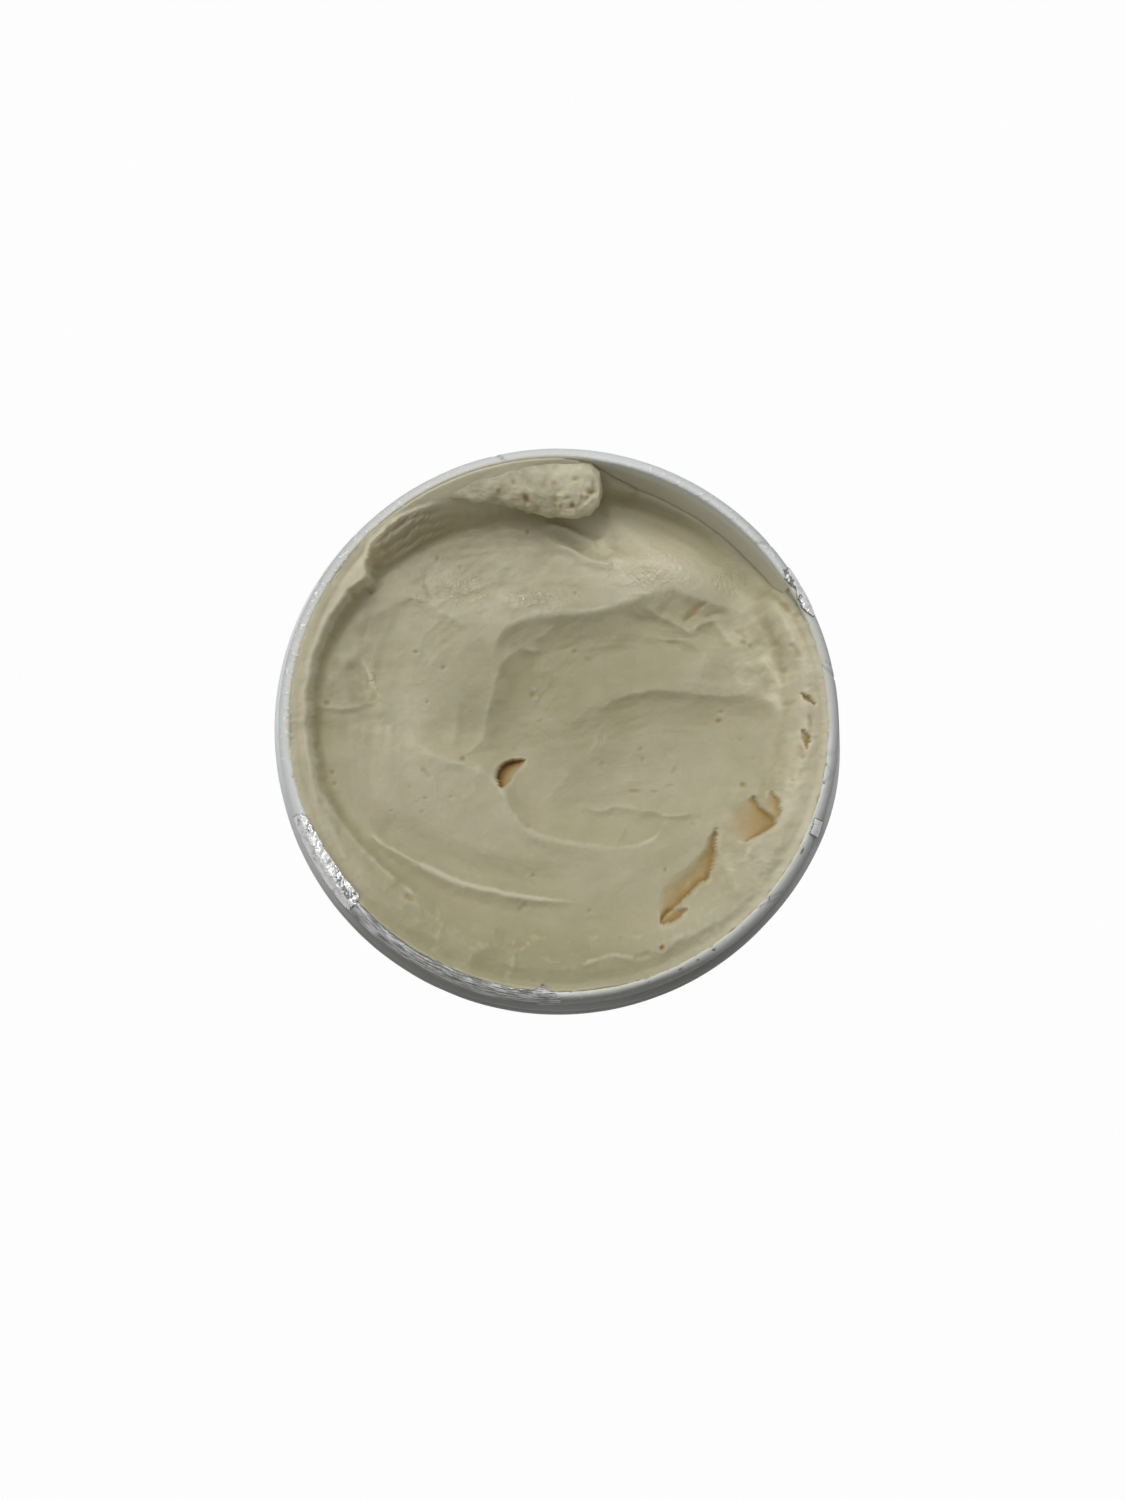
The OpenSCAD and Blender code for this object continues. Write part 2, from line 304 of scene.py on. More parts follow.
def wall_build_up(r):
    """Soap that climbs the wall: its thickness at the wall and the depth of its top, by angle."""
    angle = np.degrees(np.arctan2(r.y, r.x)) % 360
    radius = np.hypot(r.x, r.y)
    around, top, thick, ease = np.array([
        # angle, depth of the top, thickness, width of the slope inside it
        (0, 0.9, 2.6, 4.2), (6, 0.8, 2.4, 4.0), (12, 0.9, 2.2, 3.6), (17, 1.1, 2.4, 3.0),
        (22, 1.6, 2.4, 2.8), (25, 2.6, 2.2, 3.0), (29, 4.5, 1.8, 3.4), (33, 8.0, 1.2, 3.0),
        (36, 9.8, 0.2, 1.8), (60, 10.2, 0.15, 1.5), (72, 9.4, 0.2, 2.0), (80, 5.0, 0.3, 4.0),
        (86, 1.2, 0.8, 5.0), (100, 0.7, 0.9, 5.5), (112, 1.0, 0.8, 5.5), (120, 0.8, 0.8, 5.0),
        (128, 0.7, 0.7, 4.6), (135, 0.6, 0.8, 4.2), (139.4, 0.6, 1.2, 3.0), (141.4, 0.6, 2.4, 1.6),
        (142.6, 0.6, 3.6, 1.0), (145, 0.6, 3.3, 1.0), (148, 0.6, 2.9, 1.0), (154, 0.6, 2.3, 1.3),
        (160, 0.5, 2.0, 1.5), (165, 0.5, 1.8, 1.7), (174, 0.5, 1.9, 1.9), (181, 0.5, 2.0, 2.0),
        (187, 0.6, 2.2, 2.0), (191, 0.7, 2.2, 2.2), (196, 0.8, 1.8, 2.8), (203, 0.8, 1.8, 3.6),
        (210, 0.8, 2.0, 5.0), (220, 0.8, 2.2, 6.0), (250, 0.8, 2.4, 8.0), (270, 0.7, 2.4, 8.0),
        (300, 0.4, 2.6, 8.0), (330, 0.4, 2.8, 7.0), (345, 0.6, 2.8, 5.4), (352, 0.8, 2.8, 4.6),
        (360, 0.9, 2.6, 4.2),
    ]).T
    ragged = 1 + 0.14 * layered(r.x / 2.6, r.y / 2.6, 21, 3, 0.5)
    top_z = -np.interp(angle, around, top) + 0.12 * layered(r.x / 4.0, r.y / 4.0, 22, 3)
    inner = MOUTH_R - np.interp(angle, around, thick) * ragged
    easing = np.interp(angle, around, ease)
    share = smooth(0, 1, (radius - (inner - easing)) / easing)
    r.z[:] = np.where(top_z > r.z, r.z + (top_z - r.z) * share, r.z)
    # a thin skin drawn up the last of the wall, except over the clean part
    skin = np.interp(angle, (0, 24, 34, 78, 92, 360), (1, 0.6, 0, 0, 1, 1)) * smooth(39.9, 41.0, radius)
    r.z[:] += skin * 0.92 * np.maximum(-0.12 - r.z, 0)
    # paler next to the wall, partly the pale film of soap there and partly painted light over the shade that
    # the wall casts
    r.tone += smooth(38.6, 40.6, radius) * np.interp(
        angle, (0, 30, 40, 80, 100, 138, 146, 200, 215, 285, 300, 340, 360),
        (0.4, 0.3, 0, 0, 0.3, 0.3, 0.55, 0.5, 0.1, 0, 0.5, 0.4, 0.4))


def scoops(r):
    """Edges of the large spatula passes. The right-hand side of each curve is its low side."""
    # long crest that winds from the left through the middle to the near side
    r.crease([(16, -20.4), (10, -19.8), (4, -19), (0, -18.4), (-3.4, -17.4), (-5.8, -16.2), (-7.4, -14),
              (-8.6, -11.4), (-10.2, -8.8), (-13, -6.9), (-18, -5.5), (-22, -3.6), (-25.4, -0.4)],
             1.2, 3.6, 0.3, 1.2, (0.3, 0.15), 0.5, 0.15)
    # upper edge of the middle basin, running on into the bulge
    r.crease([(-10.4, 9), (-10.4, 12), (-10.0, 14), (-8.6, 15.9), (-5.4, 17.4), (-1, 18.2), (4, 18.5),
              (8.4, 19.6), (12.4, 20.9), (15.2, 22.2), (17, 22.8)],
              1.1, 4.4, 0.24, 1.0, (0.2, 0.14), 0.2, 0.3)
    r.crease([(13.2, 20.2), (14.8, 19.2), (17, 17.8), (19.6, 16.4), (21.4, 15.8), (22.8, 16.8),
              (24.6, 17.3), (25.8, 16.2), (27, 14.2), (29, 12.4)], 0.5, 1.8, 0.22, 0.5, (0.1, 0.15), 0.08)
    # the flank from the bulge down to the basin
    r.crease([(15.6, 22.8), (18.6, 22.4), (21.4, 21.0), (25, 20.0), (28.6, 18.8), (31.6, 17.6)],
             1.0, 2.4, 0.1, 0.8, (0.2, 0.3), 0.3)
    # left edge of the middle basin, in two leaves
    r.crease([(-12.2, -2.6), (-11.8, 0.4), (-11.2, 3.4), (-10.4, 7), (-10.2, 10), (-10.4, 12.6)],
             0.4, 2.6, 0.04, 0.5, (0.1, 0.3), 0.15, 0.1)
    r.crease([(-17.4, -4.2), (-16.4, -1), (-16.0, 2.4), (-15.0, 6)], 0.22, 1.6, 0.06, 0.5, (0.2, 0.5), 0.2)
    r.crease([(-15.2, -4.6), (-13.4, -3.2), (-12.2, -2)], 0.3, 1.2, 0.1, 0.4, (0.2, 0.3), 0.1)
    # small inner scoop
    r.crease([(-9.9, 7.4), (-9.0, 10.4), (-7.2, 12.2), (-4.8, 12.8), (-2.4, 12.3), (-0.8, 11.2)],
             0.42, 2.6, 0.1, 0.45, (0.1, 0.3), 0.06, 0.1)
    r.crease([(-4.6, 13.4), (-2.4, 15), (-0.4, 16.6), (2, 17)], 0.25, 1.4, 0.05, 0.4, (0.2, 0.4), 0.1)
    # the near rim of the far hollow, from the left across to the leaf under the lump
    r.crease([(-30.4, 18.0), (-28.6, 18.0), (-26.2, 19.8), (-23.6, 20.8), (-20.6, 19.6), (-18.6, 18.2),
              (-16.4, 17.4), (-14.6, 16.4), (-12.8, 14.8)], 0.5, 2.2, 0.14, 1.0, (0.06, 0.2), 0.3)
    # arc on the right with a hollow under it
    r.crease([(3.4, -0.8), (4.8, 1.2), (7, 3.4), (10, 5.0), (14.4, 6.1), (19, 6.0), (25, 5.2), (30, 4.9),
              (33.0, 3.9), (34.3, 2), (34.3, -1), (33.6, -4)], 0.6, 3.2, 0.3, 0.85, (0.25, 0.3), 0.25, 0.2)
    r.ridge([(1, -1.5), (4, 2.4), (8, 5.4), (13, 7.3), (19, 7.4), (26, 6.5), (31, 6.0), (34.4, 4.6)],
            0.2, 0.8, (0.3, 0.15))
    # lips on the near side of the basin
    r.crease([(3.8, -12), (6, -13.2), (9, -12.7), (12, -13.0), (15, -13.6), (17.6, -14.2), (21, -13.9),
              (24, -13.3)],
             0.28, 1.4, 0.15, 0.45, (0.15, 0.25), 0.1)
    r.crease([(17.6, -14.6), (16.2, -16.0), (14.8, -17.6), (13, -18.6), (11, -19.0), (8.6, -19.0)],
             0.36, 1.3, 0.14, 0.35, (0.12, 0.25), 0.05)
    r.ridge([(10.4, -14.8), (9.8, -17), (8.4, -18.8)], 0.12, 0.4)
    # folds on the near left
    r.crease([(-37.7, -7.0), (-37.2, -9.6), (-36.2, -12), (-34.6, -14), (-32.8, -16.4), (-31.0, -18.8),
              (-28.6, -21.2), (-25.6, -24.0), (-22.8, -26), (-20, -27.4), (-17.6, -28.6)],
             -0.12, 3.0, 0.5, 0.42, (0.03, 0.35))
    r.groove([(-36.6, -9.4), (-35.2, -11.8), (-33.4, -14.2), (-31.2, -17), (-28, -20.2), (-24.4, -23.2)],
             0.4, 1.0, 0.04, (0.2, 0.4))
    r.groove([(-36.0, -15.4), (-37.4, -12.6), (-38.3, -9.6), (-38.6, -6.6)], 0.5, 0.4, 0.1, (0.3, 0.25))
    r.crease([(6, -28.4), (1, -27.7), (-5, -27), (-10, -26.1), (-15.4, -24.8), (-19, -23.2), (-23, -21.2),
              (-26.8, -19.0), (-30, -17.1)], 0.75, 1.8, 0.38, 0.9, (0.3, 0.08), 0.25, 0.45)


def wall_marks(r):
    """Flaps and lamellas near the wall."""
    # streaks drawn along the far left wall
    for k in range(4):
        path = [(140.8, 38.5 + 0.1 * k), (137, 39.9 - 0.7 * k), (132, 40.0 - 0.95 * k),
                (126, 39.8 - 0.95 * k), (119, 38.9 - 0.9 * k), (112, 37.8 - 0.8 * k)]
        points = [(out * math.cos(math.radians(turn)), out * math.sin(math.radians(turn)))
                  for turn, out in path]
        r.ridge(points, 0.8 - 0.08 * k, 0.3, (0.06, 0.5))
        furrow = [(0.988 * x, 0.988 * y) for x, y in points]
        r.groove(furrow, 0.4, 0.32, 0.26 - 0.03 * k, (0.06, 0.6))
    for off in (0.0, 1.3, 2.8, 4.4):
        r.ridge([(-22, 30.6 - off), (-16, 32.6 - off), (-8, 33.4 - off), (0, 33 - off)],
                0.14, 0.4, (0.2, 0.3))
    # leaves under the lump
    r.crease([(8.8, 27.0), (7.4, 26.8), (5.4, 27.4), (3.4, 28.2), (0.8, 29.8), (-2.4, 30.6)],
             1.2, 1.8, 0.6, 0.7, (0.04, 0.4), -0.2)
    r.crease([(6.4, 30.4), (4.8, 31.2), (2.4, 32.3), (-0.4, 33.2), (-3, 33.4)],
             0.9, 1.4, 0.55, 0.6, (0.06, 0.3), -0.2)
    r.ridge([(6.4, 24.3), (8.2, 23.9), (10.4, 23.3)], 0.12, 0.3)
    # drag marks on the far left
    r.groove([(-21.9, 23.2), (-21, 21.6), (-20.2, 20.3)], 0.25, 0.35, 0.1)
    r.ridge([(-15.8, 23.6), (-14, 20.8), (-12.2, 17.8)], 0.1, 0.25)
    # fold with a bright crest at the left, and the rounded fold beside it
    r.crease([(-31.0, 10.8), (-30.3, 9.0), (-29.6, 7.0), (-28.6, 5.0), (-27.2, 3.4)],
             0.6, 1.5, 0.16, 0.4, (0.25, 0.2), 0.06)
    r.crease([(-32.2, 8.8), (-33.6, 7.8), (-34.4, 6.2), (-34.0, 4.6)],
             -0.3, 1.6, 0.12, 0.4, (0.2, 0.3), 0.15)
    # step with a smooth hollow under it on the left wall
    r.crease([(-38.2, 2.2), (-37.0, 2.5), (-35.0, 2.3), (-32.4, 2.6), (-30.0, 3.4), (-27.8, 3.2)],
             0.55, 2.4, 0.14, 0.4, (0.15, 0.3), 0.1)
    r.ridge([(-31.0, 13.4), (-32.4, 10.8), (-34.4, 8.2), (-36, 5.4)], 0.3, 0.9)
    # pinch in the bulge
    r.hole([(20.0, 16.8), (21.4, 17.6), (22.6, 18.7), (24.0, 20.2)],
           [(20.0, 16.8), (20.2, 18.4), (21.6, 20.0), (24.0, 20.2)], 0.45, 0.4, 1.4, 0.6)
    r.groove([(17.0, 14.1), (19, 13.6), (21, 12.9), (22.6, 12.4)], 0.35, 0.5, 0.08)
    # tear running down from the bulge at the right
    r.crease([(35.4, 4.6), (34.2, 6.6), (33, 9), (31.6, 11.6)], 0.3, 1.4, 0.15, 0.4, (0.2, 0.3), 0.1)
    r.groove([(34.8, 9.2), (33.8, 10), (33.8, 11.2), (34.6, 11.8)], 0.2, 0.4)
    # thin leaves at the near side
    r.crease([(-14.6, -35), (-13.5, -33.5), (-12.3, -31.8)], -0.28, 1.3, 0.08, 0.4, (0.15, 0.15), 0.1)
    r.crease([(-4.2, -33.7), (-6.6, -34.5), (-9.0, -34.0)], 0.22, 1.0, 0.1, 0.4)
    r.crease([(-6.6, -34.7), (-7.1, -36.6), (-7.0, -38.6)], 0.16, 1.0, 0.06, 0.4)
    r.crease([(-17.6, -30.6), (-18.4, -33), (-18.2, -35)], 0.14, 1.0, 0.04, 0.4)
    r.crease([(11.4, -36.4), (9.6, -35.9), (8.2, -35.5), (6.2, -36.2), (3, -37)], 0.2, 1.0, 0.12, 0.5)
    r.groove([(11, -35.9), (12.4, -35.7), (13.8, -35.5)], 0.22, 0.4, 0.12)
    r.crease([(34, -22), (28, -27.6), (22, -31.6), (14, -34)], 0.12, 1.6, 0.08, 0.5, (0.2, 0.2), 0.1)
    # flakes beside the crack
    r.crease([(25.2, -25.2), (24.2, -24.4), (22.8, -24.4), (21.2, -25.4), (19.8, -26.8)],
             -0.1, 1.0, 0.25, 0.45)
    r.mound(25.6, -21, 2.2, 1.8, 0.3, 40)
    r.crease([(26.8, -22.2), (28.4, -20.8), (29.4, -18.8)], 0.3, 1.2, 0.1, 0.4)


def cavities(r):
    """Holes and cracks."""
    # crescent hole in the middle, undercut at its left end
    r.hole([(-5.2, -5.2), (-7.2, -5.0), (-8.8, -5.8), (-9.7, -7.4), (-9.5, -9.0), (-8.9, -9.9)],
           [(-5.2, -5.2), (-6.2, -6.5), (-7.2, -7.6), (-7.7, -8.9), (-8.9, -9.9)], 2.0, 1.1, 0.8, 0.3)
    # long jagged crack: steep on its right side, with a foot at its near end
    r.hole([(15.2, -31.0), (16.8, -29.4), (17.8, -28.4), (19.2, -27.2), (20.6, -25.8), (21.6, -24.8),
            (22.9, -24.2), (23.3, -22.6), (24.0, -20.6), (24.3, -18.6), (24.6, -16.4)],
           [(15.2, -31.0), (15.1, -29), (15.4, -27), (16.2, -25), (17.6, -23.4), (19.6, -22.0),
            (21.2, -20.6), (22.4, -19.0), (23.1, -17.4), (24.6, -16.4)], 1.5, 0.95, 1.6, 0.35)
    r.hole([(15.2, -31.1), (17.2, -30.7), (18.9, -29.6), (19.9, -28.8)],
           [(15.2, -31.1), (15.9, -29.6), (17.4, -28.7), (19.9, -28.8)], 1.3, 0.9, 0.7, 0.3)
    # triangular cavity with a blade of soap over its far corner, and the small one behind it
    r.hole([(28.6, -18.6), (30.8, -17.4), (32.9, -15.9), (32.2, -14.2), (31.2, -12.8), (30.4, -11.0)],
           [(28.6, -18.6), (26.4, -17.8), (25.2, -15.4), (26.6, -12.8), (30.4, -11.0)],
           1.5, 0.85, 1.5, 0.35)
    r.hole([(32.8, -15.6), (33.8, -14), (33.6, -12.2), (32.8, -10.4)],
           [(32.8, -15.6), (31.8, -13.6), (31.6, -12.2), (32.8, -10.4)], 1.1, 0.75, 1.0, 0.35)
    # pits along the right wall
    r.hole([(37.2, 4.6), (38.3, 3.9), (39.6, 2.4)], [(37.2, 4.6), (38.0, 3.1), (39.6, 2.4)],
           1.2, 0.75, 0.5, 0.2)
    r.hole([(37.2, -1.2), (38.5, -2.3), (38.4, -3.6), (37.9, -4.6)],
           [(37.2, -1.2), (37.3, -2.6), (37.9, -4.6)], 1.1, 0.7, 0.7, 0.2)
    r.groove([(35.6, 12.2), (36.6, 11.2), (37.2, 9.6)], 0.4, 0.4, 0.25)
    r.groove([(36.6, 17.2), (37.2, 16.2)], 0.4, 0.4, 0.2)
    for points, depth, width, recess_shade in (
            ([(34.6, 19.8), (35.6, 18.4), (36.0, 17.0)], 0.3, 0.35, 0.3),
            ([(33.6, 13.8), (34.6, 12.6), (35.4, 10.8)], 0.25, 0.4, 0.22),
            ([(34.0, 9.4), (35.0, 8.4), (36.2, 8.0)], 0.2, 0.35, 0.25),
            ([(38.2, 1.2), (38.6, -0.4), (38.2, -1.4)], 0.3, 0.35, 0.3),
            ([(36.6, -3.0), (37.0, -4.6), (36.4, -6.2)], 0.25, 0.4, 0.28),
            ([(37.4, -7.0), (36.8, -8.6), (36.9, -9.6)], 0.2, 0.35, 0.22),
            ([(30.6, 14.2), (31.8, 13.2), (33.2, 12.8)], 0.2, 0.35, 0.15),
            ([(22.6, 17.4), (25.0, 18.4), (27.6, 18.2)], 0.2, 0.5, 0.12),
            ([(27.6, 15.8), (29.0, 15.0), (30.0, 13.6)], 0.2, 0.4, 0.15),
            ([(34.4, 3.2), (35.8, 3.0), (36.8, 3.8)], 0.2, 0.4, 0.18)):
        r.groove(points, depth, width, recess_shade, (0.35, 0.35))
    r.groove([(-8.0, -34.1), (-6.6, -34.5), (-5.0, -33.7)], 0.3, 0.35, 0.2)
    r.groove([(-6.4, -29.4), (-5.4, -28.6), (-4.6, -28.2)], 0.2, 0.4, 0.05)
    r.groove([(-23.3, -26.5), (-22.6, -27.0), (-22.0, -27.4)], 0.3, 0.28, 0.3)
    r.groove([(-21.4, -6.7), (-20.8, -7.6), (-20.0, -8.4)], 0.25, 0.28, 0.2)
    for pit in [
        (-22.7, 11.8, 0.26, 0.4, 0.5), (-18.3, 9.2, 0.36, 0.3, 0.2), (-20.8, 3.8, 0.25, 0.3, 0.25),
        (-15.0, -5.1, 0.36, 0.4, 0.5), (-35.0, -7.8, 0.3, 0.3, 0.3), (-34.6, -9.6, 0.26, 0.3, 0.3),
        (-20.8, -11.6, 0.2, 0.2, 0.3), (-16.8, -11.4, 0.2, 0.2, 0.2), (-21.2, -13.8, 0.26, 0.2, 0.2),
        (-23.2, -9.8, 0.2, 0.2, 0.2), (-26, -13.6, 0.2, 0.2, 0.15), (-4.2, 5.4, 0.38, 0.35, 0.4),
        (-3, 1, 0.25, 0.15, 0.15), (7, -6, 0.4, 0.16, 0.1), (13.0, -3.6, 0.34, 0.2, 0.2),
        (13.4, -5.2, 0.3, 0.2, 0.2), (18.4, -7.0, 0.5, 0.15, 0.08), (2.6, 12.4, 0.3, 0.25, 0.2),
        (-4.6, -15.8, 0.3, 0.2, 0.12), (-4.0, -23.6, 0.28, 0.2, 0.2), (9.4, -33.2, 0.24, 0.2, 0.25),
        (16.4, -22.8, 0.24, 0.3, 0.3), (15.4, -34.7, 0.3, 0.7, 0.9), (4.6, -29.0, 0.2, 0.25, 0.25),
        (25.4, 1.0, 0.36, 0.35, 0.4), (25.8, 2.4, 0.28, 0.25, 0.3), (28.8, -9.4, 0.36, 0.45, 0.45),
        (30.4, -5.4, 0.26, 0.2, 0.12), (28.6, -2.2, 0.3, 0.2, 0.2), (29.4, 13.4, 0.4, 0.3, 0.2),
        (30.4, 12.8, 0.3, 0.3, 0.2), (-35.6, 13.6, 0.3, 0.4, 0.35), (-30.0, 21.2, 0.36, 0.5, 0.4),
        (-19.5, 27.2, 0.3, 0.35, 0.25), (-15.8, 25.8, 0.3, 0.2, 0.15), (-36.2, 3.0, 0.4, 0.35, 0.3),
        (35.8, -9.2, 0.2, 0.3, 0.5), (-5.0, 31.9, 0.3, 0.3, 0.5), (20.8, -15.6, 0.22, 0.2, 0.2),
        (37.2, -5.6, 0.3, 0.3, 0.4), (2.8, 21.8, 0.26, 0.2, 0.2),
        # drawn out by the spatula
        (12.0, -10.3, 0.25, 0.2, 0.25, 3.4, 2), (15.0, -10.4, 0.22, 0.2, 0.25, 1.8),
        (17.4, -9.4, 0.2, 0.15, 0.12, 2.4), (4.8, 11.1, 0.22, 0.2, 0.2, 3.0, -16),
    ]:
        r.pit(*pit)


def texture(r):
    """Spatula lines, unevenness and fine bubbles."""
    passes = [
        ([(-34, 8), (-30, 20), (-20, 27.5), (-6, 30), (8, 28.5)], 7.0, 0.24),
        ([(-26, 8), (-18, 17), (-6, 22), (8, 23), (22, 21)], 6.0, 0.24),
        ([(-8, 2), (-2, 9), (8, 13), (20, 12), (31, 9)], 6.5, 0.2),
        ([(-4, -10), (6, -3), (16, 0), (28, -1), (34, -4)], 6.5, 0.09),
        ([(-32, -6), (-24, -12), (-12, -18), (2, -23), (14, -24)], 6.0, 0.07),
        ([(-36, -10), (-30, -22), (-18, -31), (-4, -34), (12, -33)], 5.0, 0.08),
        ([(14, -36), (24, -30), (32, -22), (37, -12), (38, 0)], 5.0, 0.10),
        ([(36, 2), (35, 10), (31, 18)], 4.0, 0.12),
        ([(-36, -2), (-32, 4), (-30, 10), (-30, 16)], 4.0, 0.07),
    ]
    for k, (points, width, streak) in enumerate(passes):
        r.swath(points, width, streak, 31 + k)
    # low swells that follow the way the spatula went round the tub
    turn, out = np.arctan2(r.y, r.x), np.hypot(r.x, r.y)
    outer = smooth(14, 26, out)
    r.z += 0.16 * outer * layered(out / 3.4, turn * out / 12, 51, 3, 0.45)
    r.z += 0.16 * (1 - outer) * layered((r.y - 0.2 * r.x) / 4.0, (r.x + 0.2 * r.y) / 11, 53, 3, 0.45)
    r.z += 0.03 * layered(r.x / 1.6, r.y / 1.1, 52, 3, 0.6)
    for x, y, radius, height, seed in [
        (31, 13, 5, 0.10, 62), (22, 19, 4, 0.08, 64), (30, -22, 4.5, 0.16, 65), (35, -10, 3, 0.14, 68),
        (22, -32, 4, 0.12, 71), (38.5, 8, 3.5, 0.15, 61), (38.2, -3, 3.2, 0.18, 62),
        (-33, 4, 4, 0.07, 66), (36.5, 15, 3.5, 0.15, 69), (24, -26, 3, 0.1, 70),
    ]:
        r.rough_patch(x, y, radius, height, seed)
    rng = np.random.default_rng(7)
    for _ in range(90):
        at, far = rng.uniform(0, 2 * math.pi), 39 * math.sqrt(rng.uniform())
        size = rng.uniform(0.12, 0.2)
        r.pit(far * math.cos(at), far * math.sin(at), size, size * 0.5, 0.15)


def sheen(r):
    """Wet-looking patches where the surface glints."""
    for x, y, rx, ry, amount in [
        (15.0, 25.2, 6.0, 3.6, 1.0), (27, 24, 3.5, 3.0, 0.8), (-3, 20.6, 5.5, 1.8, 1.0),
        (-16, 22.4, 5.5, 3.6, 0.8), (-22.6, 20.8, 3.0, 1.2, 0.8), (-29.4, 7.4, 1.0, 3.0, 0.8),
        (-12, 19.6, 5, 2, 0.4), (8, 25, 5, 2, 0.4), (2.4, 1.2, 1.4, 0.8, 0.5), (6.6, -2.6, 1.2, 1.2, 0.4),
        (-24, 33, 6, 2.4, 0.5),
    ]:
        r.gloss = np.maximum(r.gloss, amount * r.patch(x, y, rx, ry))


def tone_and_painted_light(r):
    """Paler and darker patches in the colour: partly the soap's own uneven tone, and partly painted light on
    parts left in shade and painted shade on the middle and the near side.
    """
    for x, y, rx, ry, amount in [
        (16, 26.5, 11, 5.5, 0.95), (7.5, 30.5, 5, 3.6, 0.8), (30, 19, 6, 7, 0.7), (-34, 10, 4, 10, 0.3),
        (-30, 20, 6, 7, 0.35), (-17, 36, 6, 3, 0.5), (-25, 25, 8, 6, 0.45), (-21, 2, 8, 9, 0.3),
        (-8, 27, 10, 5, 0.3), (36, 8, 4, 8, 0.6), (36, -8, 3, 10, 0.5), (1, 4, 13, 10, -0.75),
        (14, 9, 14, 6, -0.4), (-2, -37, 24, 5, -1.0), (-24, -31, 9, 5, -0.6), (2, -26, 20, 7, -0.3),
        (18, -18, 9, 6, -0.2), (30, 20, 7, 6, -0.35), (26, -2, 9, 7, -0.2), (-22, -17, 8, 6, -0.2),
         (-14, 19, 9, 3, 0.3), (12, -4, 14, 6, -0.25), (-8, 38, 9, 4, 0.7),
        (-2, -30, 30, 8, -0.15), (6, -18, 12, 6, -0.15),
    ]:
        r.tone += amount * r.patch(x, y, rx, ry)
    for x, y, rx, ry, amount in [(32, 10, 7, 10, 0.9), (30, -18, 8, 10, 0.6), (-31, 6, 6, 10, 0.5),
                                 (0, 0, 30, 30, 0.22), (-14, -34, 20, 5, 0.15), (-10, 26, 16, 8, 0.4)]:
        r.tone += amount * r.patch(x, y, rx, ry) * layered((r.wx + 0.3 * r.wy) / 4.2,
                                                           (r.wy - 0.3 * r.wx) / 2.4, 131, 3, 0.55)


SCULPT = [broad_shape, scoops, wall_build_up, wall_marks, cavities, texture, sheen, tone_and_painted_light]
GRID = 290      # points each way over the soap's surface


def disc_grid(n):
    """An n by n grid of points spread evenly over a disc of radius 1, and the indices round its edge."""
    a, b = np.meshgrid(np.linspace(-1, 1, n), np.linspace(-1, 1, n))
    wide = np.abs(a) > np.abs(b)
    safe_a, safe_b = np.where(a == 0, 1, a), np.where(b == 0, 1, b)
    radius = np.where(wide, a, b)
    turn = np.where(wide, (math.pi / 4) * b / safe_a, math.pi / 2 - (math.pi / 4) * a / safe_b)
    turn = np.where(radius == 0, 0, turn)
    x, y = radius * np.cos(turn), radius * np.sin(turn)
    k = np.arange(n)
    edge = np.r_[k, (k[1:] * n + n - 1), ((n - 1) * n + k[::-1][1:]), (k[::-1][1:-1] * n)]
    return x.ravel(), y.ravel(), edge


def blurred(grid, size):
    """Running mean of a grid over size cells each way."""
    for axis in (0, 1):
        pad = [(0, 0), (0, 0)]
        pad[axis] = (size // 2 + 1, size // 2)
        total = np.cumsum(np.pad(grid, pad, "edge"), axis)
        grid = (np.take(total, range(size, total.shape[axis]), axis)
                - np.take(total, range(total.shape[axis] - size), axis)) / size
    return grid


def mesh_object(name, points, faces, smooth_shade=True):
    mesh = bpy.data.meshes.new(name)
    mesh.from_pydata([tuple(p) for p in points], [], faces)
    mesh.update()
    if smooth_shade:
        mesh.polygons.foreach_set("use_smooth", [True] * len(mesh.polygons))
    obj = bpy.data.objects.new(name, mesh)
    bpy.context.scene.collection.objects.link(obj)
    return obj


def add_masks(obj, **masks):
    """Numbers per vertex that the material can read. Vertices past the end of the values get 0."""
    for name, values in masks.items():
        full = np.zeros(len(obj.data.vertices), np.float32)
        full[:np.size(values)] = np.ravel(values)
        obj.data.attributes.new(name, "FLOAT", "POINT").data.foreach_set("value", full)


def grid_faces(rows, n, closed=True):
    """Quads between rows of n points; closed joins the two ends of each row."""
    return [(k * n + i, k * n + (i + 1) % n, (k + 1) * n + (i + 1) % n, (k + 1) * n + i)
            for k in range(rows - 1) for i in range(n if closed else n - 1)]


def quad_strip(upper, lower):
    """Quads between two closed rings of indices."""
    m = len(upper)
    return [(int(upper[(i + 1) % m]), int(upper[i]), int(lower[i]), int(lower[(i + 1) % m]))
            for i in range(m)]


